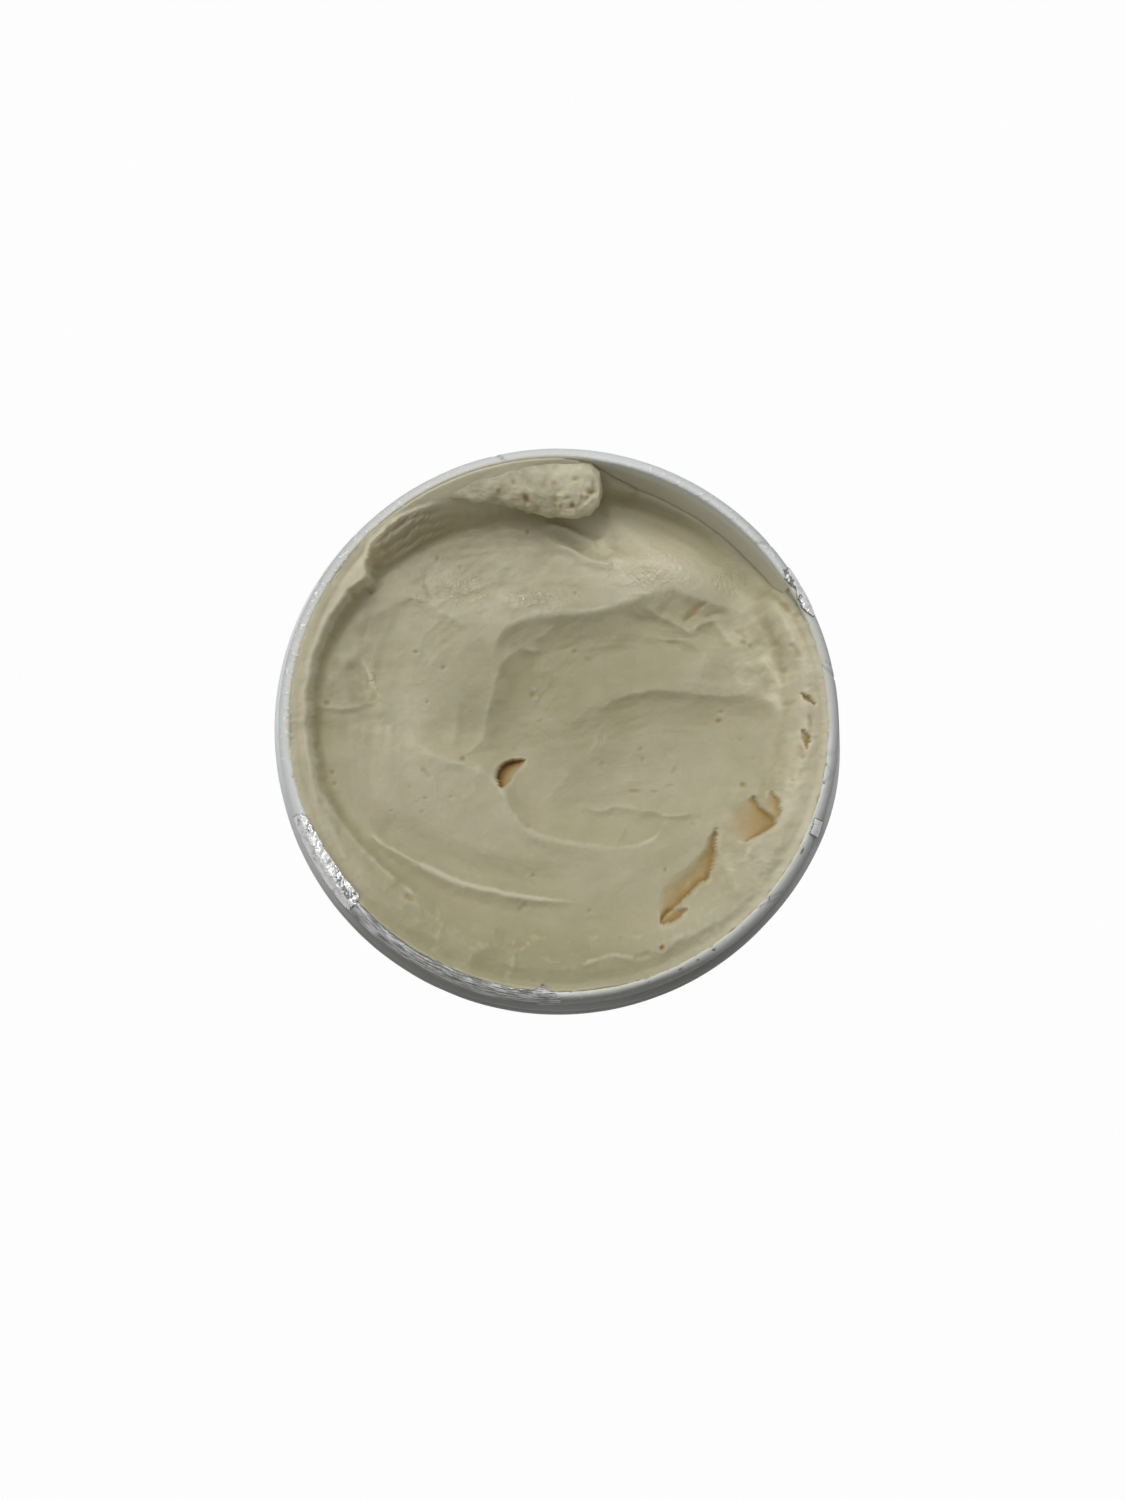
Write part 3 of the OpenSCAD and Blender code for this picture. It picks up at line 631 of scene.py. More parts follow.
def build_soap():
    ux, uy, edge = disc_grid(GRID)
    r = Relief(ux * MOUTH_R, uy * MOUTH_R)
    for sculpt in SCULPT:
        sculpt(r)
    z = np.minimum(r.z, -0.1) + RIM_Z
    reach = bore_radius(z) - WALL_GAP
    # at its edge the soap is smeared a little way over the lip
    out = np.hypot(ux, uy)
    angle = np.degrees(np.arctan2(uy, ux)) % 360
    edge_share = np.clip((out - 0.982) / 0.018, 0, 1)
    over = np.interp(angle, (0, 22, 33, 84, 96, 128, 142, 200, 215, 280, 290, 330, 345, 360),
                     (0.45, 0.4, 0, 0, 0.05, 0.1, 0.5, 0.5, 0.25, 0.25, 0.8, 0.7, 0.45, 0.45))
    over = over * np.clip(0.8 + 1.1 * layered(ux * 26, uy * 26, 141, 3), 0.1, 1.6)
    reach = reach + over * edge_share
    lip_r = np.minimum(EDGE_C[0] - reach * out, EDGE_R)
    lip = EDGE_C[1] + np.sqrt(np.maximum(EDGE_R ** 2 - np.maximum(lip_r, 0) ** 2, 0))
    covers = (over > 0) & (reach * out > MOUTH_R)
    z = np.where(covers, np.maximum(lip + 0.05 - 0.08 * edge_share ** 2, RIM_Z - 0.12), z)
    top = np.stack([ux * reach, uy * reach, z], 1)
    faces = grid_faces(GRID, GRID, False)
    # the side goes down the bore and in over the floor, in rings below the edge of the surface
    points = [top]
    wall_top, wall_foot = np.minimum(top[edge, 2], RIM_Z - 0.5) - 0.1, FLOOR_Z + FLOOR_ROUND
    for share in (0.0, 0.35, 0.7):
        ring_z = wall_top * (1 - share) + wall_foot * share
        ring_r = bore_radius(ring_z) - WALL_GAP
        points.append(np.stack([ux[edge] * ring_r, uy[edge] * ring_r, ring_z], 1))
    for turn in (0, 30, 60, 90):
        out = bore_radius(FLOOR_Z) - WALL_GAP - FLOOR_ROUND * (1 - math.cos(math.radians(turn)))
        low = FLOOR_Z + FLOOR_ROUND * (1 - math.sin(math.radians(turn)))
        points.append(np.stack([ux[edge] * out, uy[edge] * out, np.full(len(edge), low)], 1))
    m = len(edge)
    rings = [edge] + [len(top) + k * m + np.arange(m) for k in range(7)]
    for upper, lower in zip(rings[:-1], rings[1:]):
        faces += quad_strip(upper, lower)
    centre = len(top) + 7 * m
    faces += [(int(rings[-1][(i + 1) % m]), int(rings[-1][i]), centre) for i in range(m)]
    points = np.vstack(points + [[[0, 0, FLOOR_Z]]])
    obj = mesh_object("soap_fill", points * MM, faces)
    height = r.z.reshape(GRID, GRID)
    cell = 2 * MOUTH_R / GRID
    open_ = 1 - np.clip(3 * blurred(r.cavity.reshape(GRID, GRID), 2 * round(1.0 / cell) + 1), 0, 1)
    # painted highlight on small crests and painted shade in small creases, except near holes
    crest = (height - blurred(height, 2 * round(0.9 / cell) + 1)) * open_
    # painted shade: darker in broad hollows, such as the middle of the basin
    hollow = blurred(height, round(11 / cell)) - blurred(height, round(1.5 / cell))
    add_masks(obj, cavity=r.cavity, crest=crest, hollow=hollow, gloss=r.gloss, tone=r.tone)
    return obj


# ---- The lump of soap on the wall
# Middle line of the lump as share of length, x, y, height below the lip, half width and half height
LUMP = [
    (0.0, -18.4, 35.3, -1.5, 0.6, 0.4), (0.05, -17.0, 35.4, -1.7, 1.1, 0.6),
    (0.16, -14.2, 35.7, -2.0, 1.6, 0.9), (0.22, -12.7, 36.4, -2.3, 2.8, 1.3),
    (0.35, -9.4, 37.0, -2.7, 3.4, 1.8), (0.5, -5.6, 36.9, -3.0, 4.1, 2.2),
    (0.65, -2.0, 36.3, -3.3, 4.5, 2.4), (0.8, 2.2, 35.8, -3.6, 4.2, 2.4),
    (0.92, 5.0, 36.0, -4.0, 3.5, 2.2), (0.98, 6.3, 36.3, -4.3, 2.4, 1.7), (1.0, 6.8, 36.4, -4.4, 0.5, 0.4),
]
LUMP_PITS = [
    # x, y, radius, depth
    (-5.2, 34.9, 0.46, 0.7), (2.0, 34.1, 0.4, 0.7), (4.9, 36.2, 0.36, 0.5), (1.2, 35.2, 0.3, 0.3),
    (3.5, 35.4, 0.3, 0.25), (-3.4, 33.6, 0.34, 0.3), (0.2, 33.9, 0.3, 0.25), (-9.5, 36.0, 0.34, 0.3),
    (-0.8, 37.2, 0.34, 0.3), (2.4, 38.0, 0.34, 0.35), (-7.2, 37.4, 0.3, 0.25),
]
LUMP_FURROWS = [
    # curve, depth, width and brownness, which is painted shade in the furrow; the second is the curled rim
    # of the lobe at the right end
    ([(5.3, 37.6), (5.2, 36.4), (4.4, 35.3), (3.4, 34.5), (2.6, 33.6)], 0.3, 0.4, 0.22),
    ([(3.6, 39.4), (5.4, 38.6), (6.4, 37.0), (6.3, 35.2), (5.0, 33.5), (3.0, 32.6), (0.8, 32.6)],
     -0.4, 0.6, 0.0),
    ([(-3.0, 40), (-2.0, 38.6), (-2.2, 37.2)], 0.25, 0.6, 0.1),
    ([(-10.2, 34.4), (-9.2, 35.6), (-9.0, 37)], 0.2, 0.6, 0.08),
    ([(0.2, 32.4), (-0.6, 33.8), (-0.6, 35)], 0.3, 0.45, 0.15),
]


def build_lump():
    long, round_ = ((300, 170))
    share, cx, cy, cz, wide, high = np.array(LUMP).T
    s = np.linspace(0, 1, long)
    s = 0.5 - 0.5 * np.cos(math.pi * s) * (0.6 + 0.4 * np.abs(np.cos(math.pi * s)))
    a = np.linspace(0, 2 * math.pi, round_, endpoint=False)
    S, A = np.meshgrid(s, a, indexing="ij")

    def at(values):
        return np.interp(S, share, values)

    c, d = np.cos(A), np.sin(A)
    flat = np.abs(c) ** 0.8 * np.sign(c), np.abs(d) ** 0.9 * np.sign(d)
    bulk = 1 + 0.09 * layered(S * 24 / 4.6 + 3, 1.2 * c + 5, 91, 2)
    wider = at(wide) * bulk * np.where(c < 0, 0.82, 1.25)
    x, y, z = at(cx) + 0 * A, at(cy) + 0.5 + wider * flat[0], at(cz) + at(high) * flat[1] * bulk
    # it leans on the wall
    z += 0.42 * wider * flat[0]
    # lumps, torn skin and pits
    upper = smooth(-0.2, 0.5, d)
    body = smooth(0.02, 0.2, S) * smooth(1.0, 0.97, S)
    knobs = layered(x / 2.4, (y + 0.7 * z) / 2.4, 93, 3, 0.42)
    skin = 0.42 * knobs + 0.2 * layered(x / 1.7 + 7, (y + 0.7 * z) / 1.7, 95, 2) \
        + 0.06 * layered(x / 0.8 + z, y / 0.8 + z, 94, 3, 0.6)
    recess_shade = np.zeros_like(x)
    deep = np.zeros_like(x)
    for px, py, radius, depth in LUMP_PITS:
        skew = 0.3 * math.sin(9 * px + 5 * py)
        u, v = (x - px) * (1 + skew) + 0.4 * skew * (y - py), (y - py) * (1 - 0.6 * skew)
        shape = np.exp(-(u ** 2 + v ** 2) / (1.25 * radius) ** 2) * upper
        deep += depth * shape
        recess_shade = np.maximum(recess_shade, 0.6 * shape * min(1, depth / 0.6))
    
    for curve, depth, width, brown in LUMP_FURROWS:
        shape = np.exp(-distance2(x, y, spline(curve)) / width ** 2) * upper
        deep += depth * shape
        recess_shade = np.maximum(recess_shade, brown * shape)
    move = body * (skin - deep)
    y += move * flat[0] * 0.6
    z += move * (0.3 + 0.7 * np.abs(flat[1])) * np.sign(flat[1])
    # keep inside the bore
    out = np.hypot(x, y)
    limit = bore_radius(z + RIM_Z) - 0.02
    squeeze = np.minimum(1, limit / out)
    # its top rounds off under the lip
    z = -0.35 - 0.8 * np.log1p(np.exp((-0.35 + 0.4 * knobs - z) / 0.8))
    points = np.stack([x * squeeze, y * squeeze, z + RIM_Z], -1)
    faces = grid_faces(long, round_)
    faces += [tuple(range(round_ - 1, -1, -1)), tuple((long - 1) * round_ + i for i in range(round_))]
    obj = mesh_object("soap_dollop", points.reshape(-1, 3) * MM, faces)
    # painted colour on the lump: shade in its pits and furrows and between its knobs, highlight on the
    # knobs, and a tone that is partly random and partly painted light, paler towards the right end, which
    # faces away from the key light
    add_masks(obj, cavity=recess_shade, crest=0.10 * move, hollow=np.full(recess_shade.size, -0.5), gloss=0 * recess_shade,
              tone=0.1 + 0.35 * layered(x / 2.0 + 3, y / 2.0, 96, 3) - 0.5 * smooth(2.5, -3.0, x))
    return obj


# ---- The tub
BODY_R, PANEL_R, LEDGE_Z = 45.1, 44.8, 33.8
THREAD_R, THREAD_PITCH, THREAD_START, THREAD_TURNS = 44.25, 5.08, 3.1, 1.05
THREAD_FADE = 24                       # degrees over which each end of the thread grows
# How much soap is smeared over the bore and the inner lip, by angle
SMEAR_ANGLES = (0, 12, 24, 34, 44, 60, 76, 88, 100, 116, 140, 160, 184, 200, 230, 275, 290, 318, 335, 350,
                360)
SMEAR = (0.7, 0.8, 0.9, 0.5, 0.2, 0.05, 0.25, 0.8, 0.95, 0.9, 0.9, 0.9, 0.8, 0.5, 0.5, 0.6, 1.0, 1.0, 0.7,
         0.6, 0.7)


def arc(centre, rx, ry, start, end, steps):
    turn = np.radians(np.linspace(start, end, steps + 1))
    return [(centre[0] + rx * math.cos(t), centre[1] + ry * math.sin(t)) for t in turn]


def filled(points, longest):
    """The same path with no segment longer than longest."""
    out = [points[0]]
    for p, q in zip(points[:-1], points[1:]):
        n = max(1, math.ceil(math.dist(p, q) / longest))
        out += [(p[0] + (q[0] - p[0]) * k / n, p[1] + (q[1] - p[1]) * k / n) for k in range(1, n + 1)]
    return out


def tub_path():
    """Half section from under the floor, up the outside, over the lip and down the bore."""
    foot, recess = 1.4, 0.9
    floor_r = MOUTH_R - BORE_DRAFT
    under = filled([(2.5, recess + 0.35), (2.62, recess), (37.6, recess), (38.5, 0.0)], 3.0)
    outside = arc((BODY_R - foot, foot), foot, foot, -90, 0, 8) + filled(
        [(BODY_R, foot), (BODY_R, 3.6), (PANEL_R, 3.95), (PANEL_R, LEDGE_Z - 3.55),
         (BODY_R, LEDGE_Z - 3.2)], 1.3)[1:]
    ledge = arc((BODY_R - 1.5, LEDGE_Z - 1.5), 1.5, 1.5, 0, 90, 9)
    neck = arc((NECK_R + 0.4, LEDGE_Z + 0.4), 0.4, 0.4, 270, 180, 4)
    lip = arc(SLOPE_C, SLOPE_W, SLOPE_H, 0, 90, 20) + arc(EDGE_C, EDGE_R, EDGE_R, 90, 180, 8)[1:]
    flat_r = floor_r - FLOOR_ROUND
    bore = (filled([lip[-1], (bore_radius(BORE_FOOT_Z), BORE_FOOT_Z)], 1.2)[1:]
            + arc((flat_r, FLOOR_Z + FLOOR_ROUND), FLOOR_ROUND, FLOOR_ROUND, 0, -90, 6)
            + filled([(flat_r, FLOOR_Z), (1.5, FLOOR_Z)], 6)[1:])
    return filled(under + outside + ledge, 3) + neck + filled([neck[-1], lip[0]], 0.9)[1:-1] + lip + bore


LIP_SCUFFS = [
    # angle, width, depth and slant
    (41.2, 0.35, 0.12, -1.2), (39.9, 0.2, 0.08, 1.0), (10.6, 0.3, 0.16, -1.6), (12.4, 0.2, 0.1, -1.0),
    (320.4, 0.25, 0.14, 2.4), (318.2, 0.25, 0.12, 3.0), (347.5, 0.35, 0.12, 1.6),
    (349.4, 0.3, 0.1, -1.4), (344.4, 0.2, 0.08, 2.0), (150.3, 0.22, 0.12, 0.4),
    (163.2, 0.25, 0.12, -0.5), (192.6, 0.2, 0.1, 0.3), (66.0, 0.12, 0.05, 1.0), (83.0, 0.1, 0.05, -1.0),
    (273.0, 0.2, 0.07, 1.2),
]


def lip_damage(turn, r, z):
    """Small displacement along the surface's normal on the lip: a notch, scuffs and moulding unevenness."""
    height = np.zeros_like(turn)
    on_lip = smooth(RIM_Z - 2.6, RIM_Z - 1.6, z) * (r > MOUTH_R - 0.02)
    along = np.radians(turn) * NECK_R
    uneven = 0.03 * layered(along / 5.0, r * 1.2, 101, 3) + 0.012 * layered(along / 0.9, r * 3, 102, 2)
    height += on_lip * uneven
    # notch at the far side, slanting across the lip
    lean = (r - MOUTH_R) * 0.9
    height -= on_lip * 0.12 * bell((turn - 102.2) - lean, 0.4)
    for at, width, depth, slope in LIP_SCUFFS:
        height -= on_lip * depth * bell((turn - at) - (r - LIP_MID_R) * slope, width)
    return height


DENTS = [
    # angle, height, width and depth of the dents in the body
    (201, 2.2, 2.2, 0.10), (247, 31.4, 1.8, 0.08), (30, 20, 3.2, 0.05), (310, 3.0, 1.6, 0.09),
    (131, 32.0, 1.4, 0.08), (88, 9, 4, 0.05), (275, 14, 3.0, 0.05),
]
LIP_MARKS = [
    # angle, width, slant, inner and outer radius, and darkness
    (102.4, 0.32, 0.9, 41.4, 43.2, 0.9), (41.2, 0.4, -1.2, 41.0, 42.2, 0.6),
    (10.6, 0.4, -1.6, 41.2, 43.0, 0.5), (12.4, 0.25, -1.0, 41.6, 43.2, 0.45),
    (320.4, 0.3, 2.4, 41.4, 43.0, 0.6), (318.2, 0.3, 3.0, 41.8, 43.0, 0.5),
    (347.5, 0.4, 1.6, 41.2, 42.8, 0.35), (349.4, 0.3, -1.4, 41.2, 42.8, 0.3),
    (353, 0.35, 0.4, 41.0, 42.6, 0.3),
]


def build_tub():
    path = np.array(tub_path())
    segments = 640
    turn = np.linspace(0, 360, segments, endpoint=False)
    R, T = np.meshgrid(path[:, 0], turn, indexing="ij")
    Z = np.repeat(path[:, 1][:, None], segments, 1)
    step = np.gradient(path, axis=0)
    step /= np.linalg.norm(step, axis=1)[:, None]
    out_r, out_z = step[:, 1][:, None], -step[:, 0][:, None]
    height = lip_damage(T, R, Z)
    # wear on the body: shallow dents, and a slightly wavy panel
    wall = smooth(0.5, 3, Z) * smooth(LEDGE_Z, LEDGE_Z - 2, Z) * (R > 44)
    height += wall * 0.05 * layered(T / 18.0, Z / 14.0, 111, 3)
    for at, up, size, depth in DENTS:
        away = np.hypot(np.radians((T - at + 180) % 360 - 180) * BODY_R, Z - up)
        height -= wall * depth * bell(away, size)
    R = R + height * out_r
    Z = Z + height * out_z
    a = np.radians(T)
    points = np.stack([R * np.cos(a), R * np.sin(a), Z], -1).reshape(-1, 3)
    n = segments
    faces = grid_faces(len(path), n)
    first, last = len(points), len(points) + 1
    points = np.vstack([points, [[0, 0, path[0, 1]], [0, 0, FLOOR_Z]]])
    faces += [(first, (i + 1) % n, i) for i in range(n)]
    top = (len(path) - 1) * n
    faces += [(last, top + i, top + (i + 1) % n) for i in range(n)]
    # thread: it runs down clockwise, and its ends fade into the neck
    rings = 220
    start = len(points)
    thread = []
    for k in range(rings + 1):
        turned = THREAD_TURNS * 360 * k / rings
        from_end = min(turned, THREAD_TURNS * 360 - turned)
        size = 0.12 + 0.88 * math.sin(math.radians(90 * min(1, from_end / THREAD_FADE)))
        rise, foot = (THREAD_R - NECK_R) * size, 1.25 * (0.4 + 0.6 * size)
        z = RIM_Z - THREAD_START - THREAD_PITCH * turned / 360
        b = math.radians(-turned)
        half = ((-0.2, -foot), (rise * 0.35, -foot * 0.66), (rise * 0.8, -0.45), (rise, -0.2))
        for dr, dz in half + tuple((dr, -dz) for dr, dz in half[::-1]):
            thread.append(((NECK_R + dr) * math.cos(b), (NECK_R + dr) * math.sin(b), z + dz))
    points = np.vstack([points, thread])
    for k in range(rings):
        p, q = start + k * 8, start + (k + 1) * 8
        faces += [(q + i, p + i, p + i + 1, q + i + 1) for i in range(7)] + [(p, q, q + 7, p + 7)]
    faces += [tuple(start + i for i in range(7, -1, -1)), tuple(start + rings * 8 + i for i in range(8))]
    obj = mesh_object("tub_shell", points * MM, faces)
    # soap smeared on the wall of the bore and over the inner edge of the lip
    inside = smooth(MOUTH_R + 1.0, MOUTH_R + 0.2, R) * smooth(FLOOR_Z, FLOOR_Z + 3, Z)
    patchy = np.interp(T, (0, 26, 38, 80, 94, 360), (0.5, 0.5, 0.08, 0.08, 0.5, 0.5))
    covered = np.interp(T, SMEAR_ANGLES, SMEAR)
    spread = covered + patchy * layered(np.radians(T) * LIP_MID_R / 2.2, (R - Z) / 1.6, 121, 3)
    lean = 1.1 * smooth(RIM_Z - 4.0, RIM_Z - 1.0, Z) + (R - MOUTH_R) * 0.9
    smear = np.clip(inside * smooth(-0.25, 0.35, spread - lean * (1 - covered)), 0, 1)
    mark = np.zeros_like(T)
    on_lip = smooth(RIM_Z - 1.6, RIM_Z - 0.8, Z) * (R > MOUTH_R - 0.02)
    for at, width, slope, inner, outer, dark in LIP_MARKS:
        band = smooth(inner, inner + 0.25, R) * smooth(outer, outer - 0.25, R)
        mark = np.maximum(mark, dark * on_lip * band * bell((T - at) - (R - LIP_MID_R) * slope, width))
    # where white specks are painted on the lip as glints, and where its fine sparkle bumps are
    spark = smooth(RIM_Z - 2.2, RIM_Z - 1.2, Z) * (R > MOUTH_R - 0.02) * np.interp(
        T, (0, 22, 36, 58, 78, 100, 128, 142, 172, 196, 360),
        (0, 0.2, 0.8, 0.8, 0.4, 0.1, 0.5, 1, 1, 0.2, 0))
    # painted shade on the ledge under the thread, darkest on the near side where the neck shades it
    dust = (smooth(LEDGE_Z + 3, LEDGE_Z + 0.6, Z) * smooth(LEDGE_Z - 2.4, LEDGE_Z - 1.0, Z)
            * (R > NECK_R - 0.1))
    # how much painted shade each angle gets: most on the near side, away from the light
    near = (0, 180, 212, 228, 250, 270, 300, 335, 360), (0.2, 0.1, 0.8, 1.4, 1.4, 1.1, 1.4, 0.8, 0.2)
    dust = dust * np.interp(T, *near)
    # and painted shade on the lip, more of it outside and on the near side
    lip_shade = (smooth(MOUTH_R + 0.3, NECK_R - 0.9, R) * (1 + smooth(NECK_R - 1.0, NECK_R, R))
             * smooth(RIM_Z - 3.0, RIM_Z - 2.0, Z))
    lip_shade = lip_shade * np.interp(T, (0, 12, 45, 75, 130, 150, 170, 200, 215, 240, 290, 305, 345, 360),
                              (0.52, 0.46, 0.42, 0.2, 0.42, 0.4, 0.26, 0.18, 0.3, 0.8, 1.3, 0.62, 0.55,
                               0.52))
    # the thread gets the same painted shade on the near side
    wound = -THREAD_TURNS * 360 * np.repeat(np.arange(rings + 1), 8) / rings % 360
    add_masks(obj, smear=smear, mark=mark, spark=spark,
              dust=np.r_[np.maximum(dust, lip_shade).ravel(), [0.0, 0.0], 0.9 * np.interp(wound, *near)])
    return obj


# ---- The foil seal
def lip_sheet(q):
    """Radius, height and normal on a sheet laid over the lip: q runs in from the crest, over the edge and on
    past it; q below zero runs down the outer slope. Both in millimetres."""
    bend = math.radians(26)
    over = EDGE_R * bend
    t = np.clip(q, 0, over) / EDGE_R
    past = np.maximum(q - over, 0)
    inner_r = EDGE_C[0] - EDGE_R * np.sin(t) - past * math.cos(bend)
    inner_z = EDGE_C[1] + EDGE_R * np.cos(t) - past * math.sin(bend) * np.exp(-past / 3)
    s = np.radians(90 + np.clip(q, -3.0, 0) / 3.0 * 90)
    outer_r, outer_z = SLOPE_C[0] + SLOPE_W * np.cos(s), SLOPE_C[1] + SLOPE_H * np.sin(s)
    nr, nz = np.cos(s) / SLOPE_W, np.sin(s) / SLOPE_H
    norm = np.hypot(nr, nz)
    inside = q > 0
    return (np.where(inside, inner_r, outer_r), np.where(inside, inner_z, outer_z),
            np.where(inside, -np.sin(t), nr / norm), np.where(inside, np.cos(t), nz / norm))


def build_foil(name, start, end, inner, outer, thick, crinkle, ragged, seed, cells,
               gloom=((0, 0), (360, 0)),
               border=0.1, curl=0.0):
    """A torn sheet on the lip between two angles. inner and outer are tables of angle and q, crinkle of
    angle and depth of the crinkles, and gloom of angle and the darkness painted on the outer part as shade
    and dark reflection. border is the width of the shadow line painted along the torn edge, and curl lifts
    the outer edge, in millimetres."""
    n_a, n_q = cells
    s, v = np.meshgrid(np.linspace(0, 1, n_a), np.linspace(0, 1, n_q), indexing="ij")
    turn = start + (end - start) * s
    along = np.radians(turn) * LIP_MID_R
    q_in = np.interp(turn, *np.array(inner).T) + ragged * layered(along / 0.9, 0 * along, seed, 3, 0.6)
    q_out = (np.interp(turn, *np.array(outer).T)
             + ragged * layered(along / 0.9, 0 * along + 9, seed + 1, 3, 0.6))
    q = q_out + (q_in - q_out) * v
    # torn ends
    tear = ragged * 2.2 * layered(q / 0.7, 0 * q, seed + 2, 3, 0.6)
    turn = turn + tear * ((1 - s) ** 12 + s ** 12)
    depth = np.interp(turn, *np.array(crinkle).T)
    creases = np.abs(layered(along / 2.2 + q / 2, q / 1.3, seed + 3, 2, 0.5)) \
        + 0.5 * np.abs(layered(along / 0.9, q / 0.8 + along / 3, seed + 4, 2, 0.5))
    loose = smooth(-1.2, 0.2, q)
    lift = depth * creases * (0.15 + 0.85 * loose) + curl * (1 - v)
    r, z, nr, nz = lip_sheet(q)
    a = np.radians(turn)

    def layer(height):
        rr, zz = r + nr * height, z + nz * height
        return np.stack([rr * np.cos(a), rr * np.sin(a), zz], -1).reshape(-1, 3)

    points = np.vstack([layer(0.05 + thick + lift), layer(0.05 + (lift - curl * (1 - v)) * loose * 0.9)])
    total = n_a * n_q
    faces = []
    for a, b, c, d in grid_faces(n_a, n_q, False):
        faces += [(a, d, c, b), (total + a, total + b, total + c, total + d)]
    rim = list(range(n_q)) + [k * n_q + n_q - 1 for k in range(1, n_a)] \
        + [(n_a - 1) * n_q + i for i in range(n_q - 2, -1, -1)] + [k * n_q for k in range(n_a - 2, 0, -1)]
    faces += [(p, w, total + w, total + p) for p, w in zip(rim, rim[1:] + rim[:1])]
    obj = mesh_object(name, points * MM, faces, False)
    from_side, from_end = np.minimum(v, 1 - v) * (q_in - q_out), np.minimum(s, 1 - s) * np.ptp(along)
    # distance from the torn edge, in widths of the shadow line painted along it
    edge = np.minimum(from_side, from_end) / border
    # painted shade: low values darken the crease lines, and the gloom table darkens the outer part as shade
    # and dark reflection
    dark = creases / (creases.mean() + 1e-9) * 0.3 + 0.25 * (1 - np.clip((depth - 0.15) / 0.3, 0,
        1) * loose)
    dark -= np.interp(turn, *np.array(gloom).T) * smooth(-1.6, -0.6, q)
    masks = {"around": along, "across": q, "rim": edge, "crinkle": dark}
    add_masks(obj, **{key: np.tile(np.ravel(values), 2) for key, values in masks.items()})
    return obj


def build_foils():
    scale = 1.0

    def cells(a, b):
        return int(a * scale), int(b * scale)

    strip = build_foil("foil_bright", 200.3, 222.4,
                       [(200, -0.1), (202, 0.5), (204, 0.55), (206, 0.95), (209, 0.85), (212, 1.15),
                        (216, 1.1), (219, 1.2), (221.6, 1.15), (222.4, 0.5)],
                       [(200, -2.5), (206, -2.6), (216, -2.7), (221, -2.6), (222.4, -1.8)],
                       0.09, [(200, 0.22), (205, 0.3), (208, 0.2), (213, 0.2), (216, 0.42), (222, 0.5)],
                       0.22, 201, cells(150, 36), ((200, 0), (211, 0.02), (214, 0.2), (218, 0.1),
                                                   (220, 0.22), (222, 0.1)))
    scrap = build_foil("foil_shred", 22.6, 33.9,
                       [(22.6, -0.6), (24, 0.1), (26, 0.25), (28, 0.1), (29.4, -0.3), (30.2, 0.0),
                        (32, 0.3), (33.9, -0.3)],
                       [(22.6, -1.4), (25, -2.0), (28, -2.2), (30, -1.9), (32, -2.3), (33.9, -1.8)],
                       0.09, [(22, 0.4), (28, 0.6), (34, 0.6)],
                       0.28, 211, cells(80, 24), ((22, 0.14), (27, 0.26), (30, 0.4), (34, 0.32)))
    fleck = build_foil("foil_chip", 335.2, 338.8, [(335.2, -0.2), (338.8, 0.0)],
                       [(335.2, -1.9), (338.8, -1.6)],
                       0.12, [(335, 0.05), (339, 0.05)], 0.08, 221, cells(44, 26), border=0.2, curl=0.35)
    backing = build_foil("foil_residue", 222.6, 270.2,
                         [(222.6, -0.5), (223.4, 0.3), (226, 0.45), (232, 0.35), (238, 0.3), (243, 0.5),
                          (245, 0.6), (250, 0.4), (256, 0.35), (260, 0.15), (264, 0.3), (265.6, 0.9),
                          (266.4, 1.5), (267.2, 0.6), (269, 0.1), (270.2, -0.6)],
                         [(222.6, -1.7), (226, -2.7), (240, -2.85), (258, -2.7), (266, -2.85),
                          (270.2, -2.2)],
                         0.05, [(222, 0.1), (240, 0.12), (262, 0.12), (265, 0.3), (270, 0.25)],
                         0.2, 231, cells(300, 34),
                         ((222, 0), (235, 0), (241, 0.5), (252, 0.5), (257, 0.2), (262, 0.5), (265, 0.1)),
                         0.26)
    return strip, scrap, fleck, backing


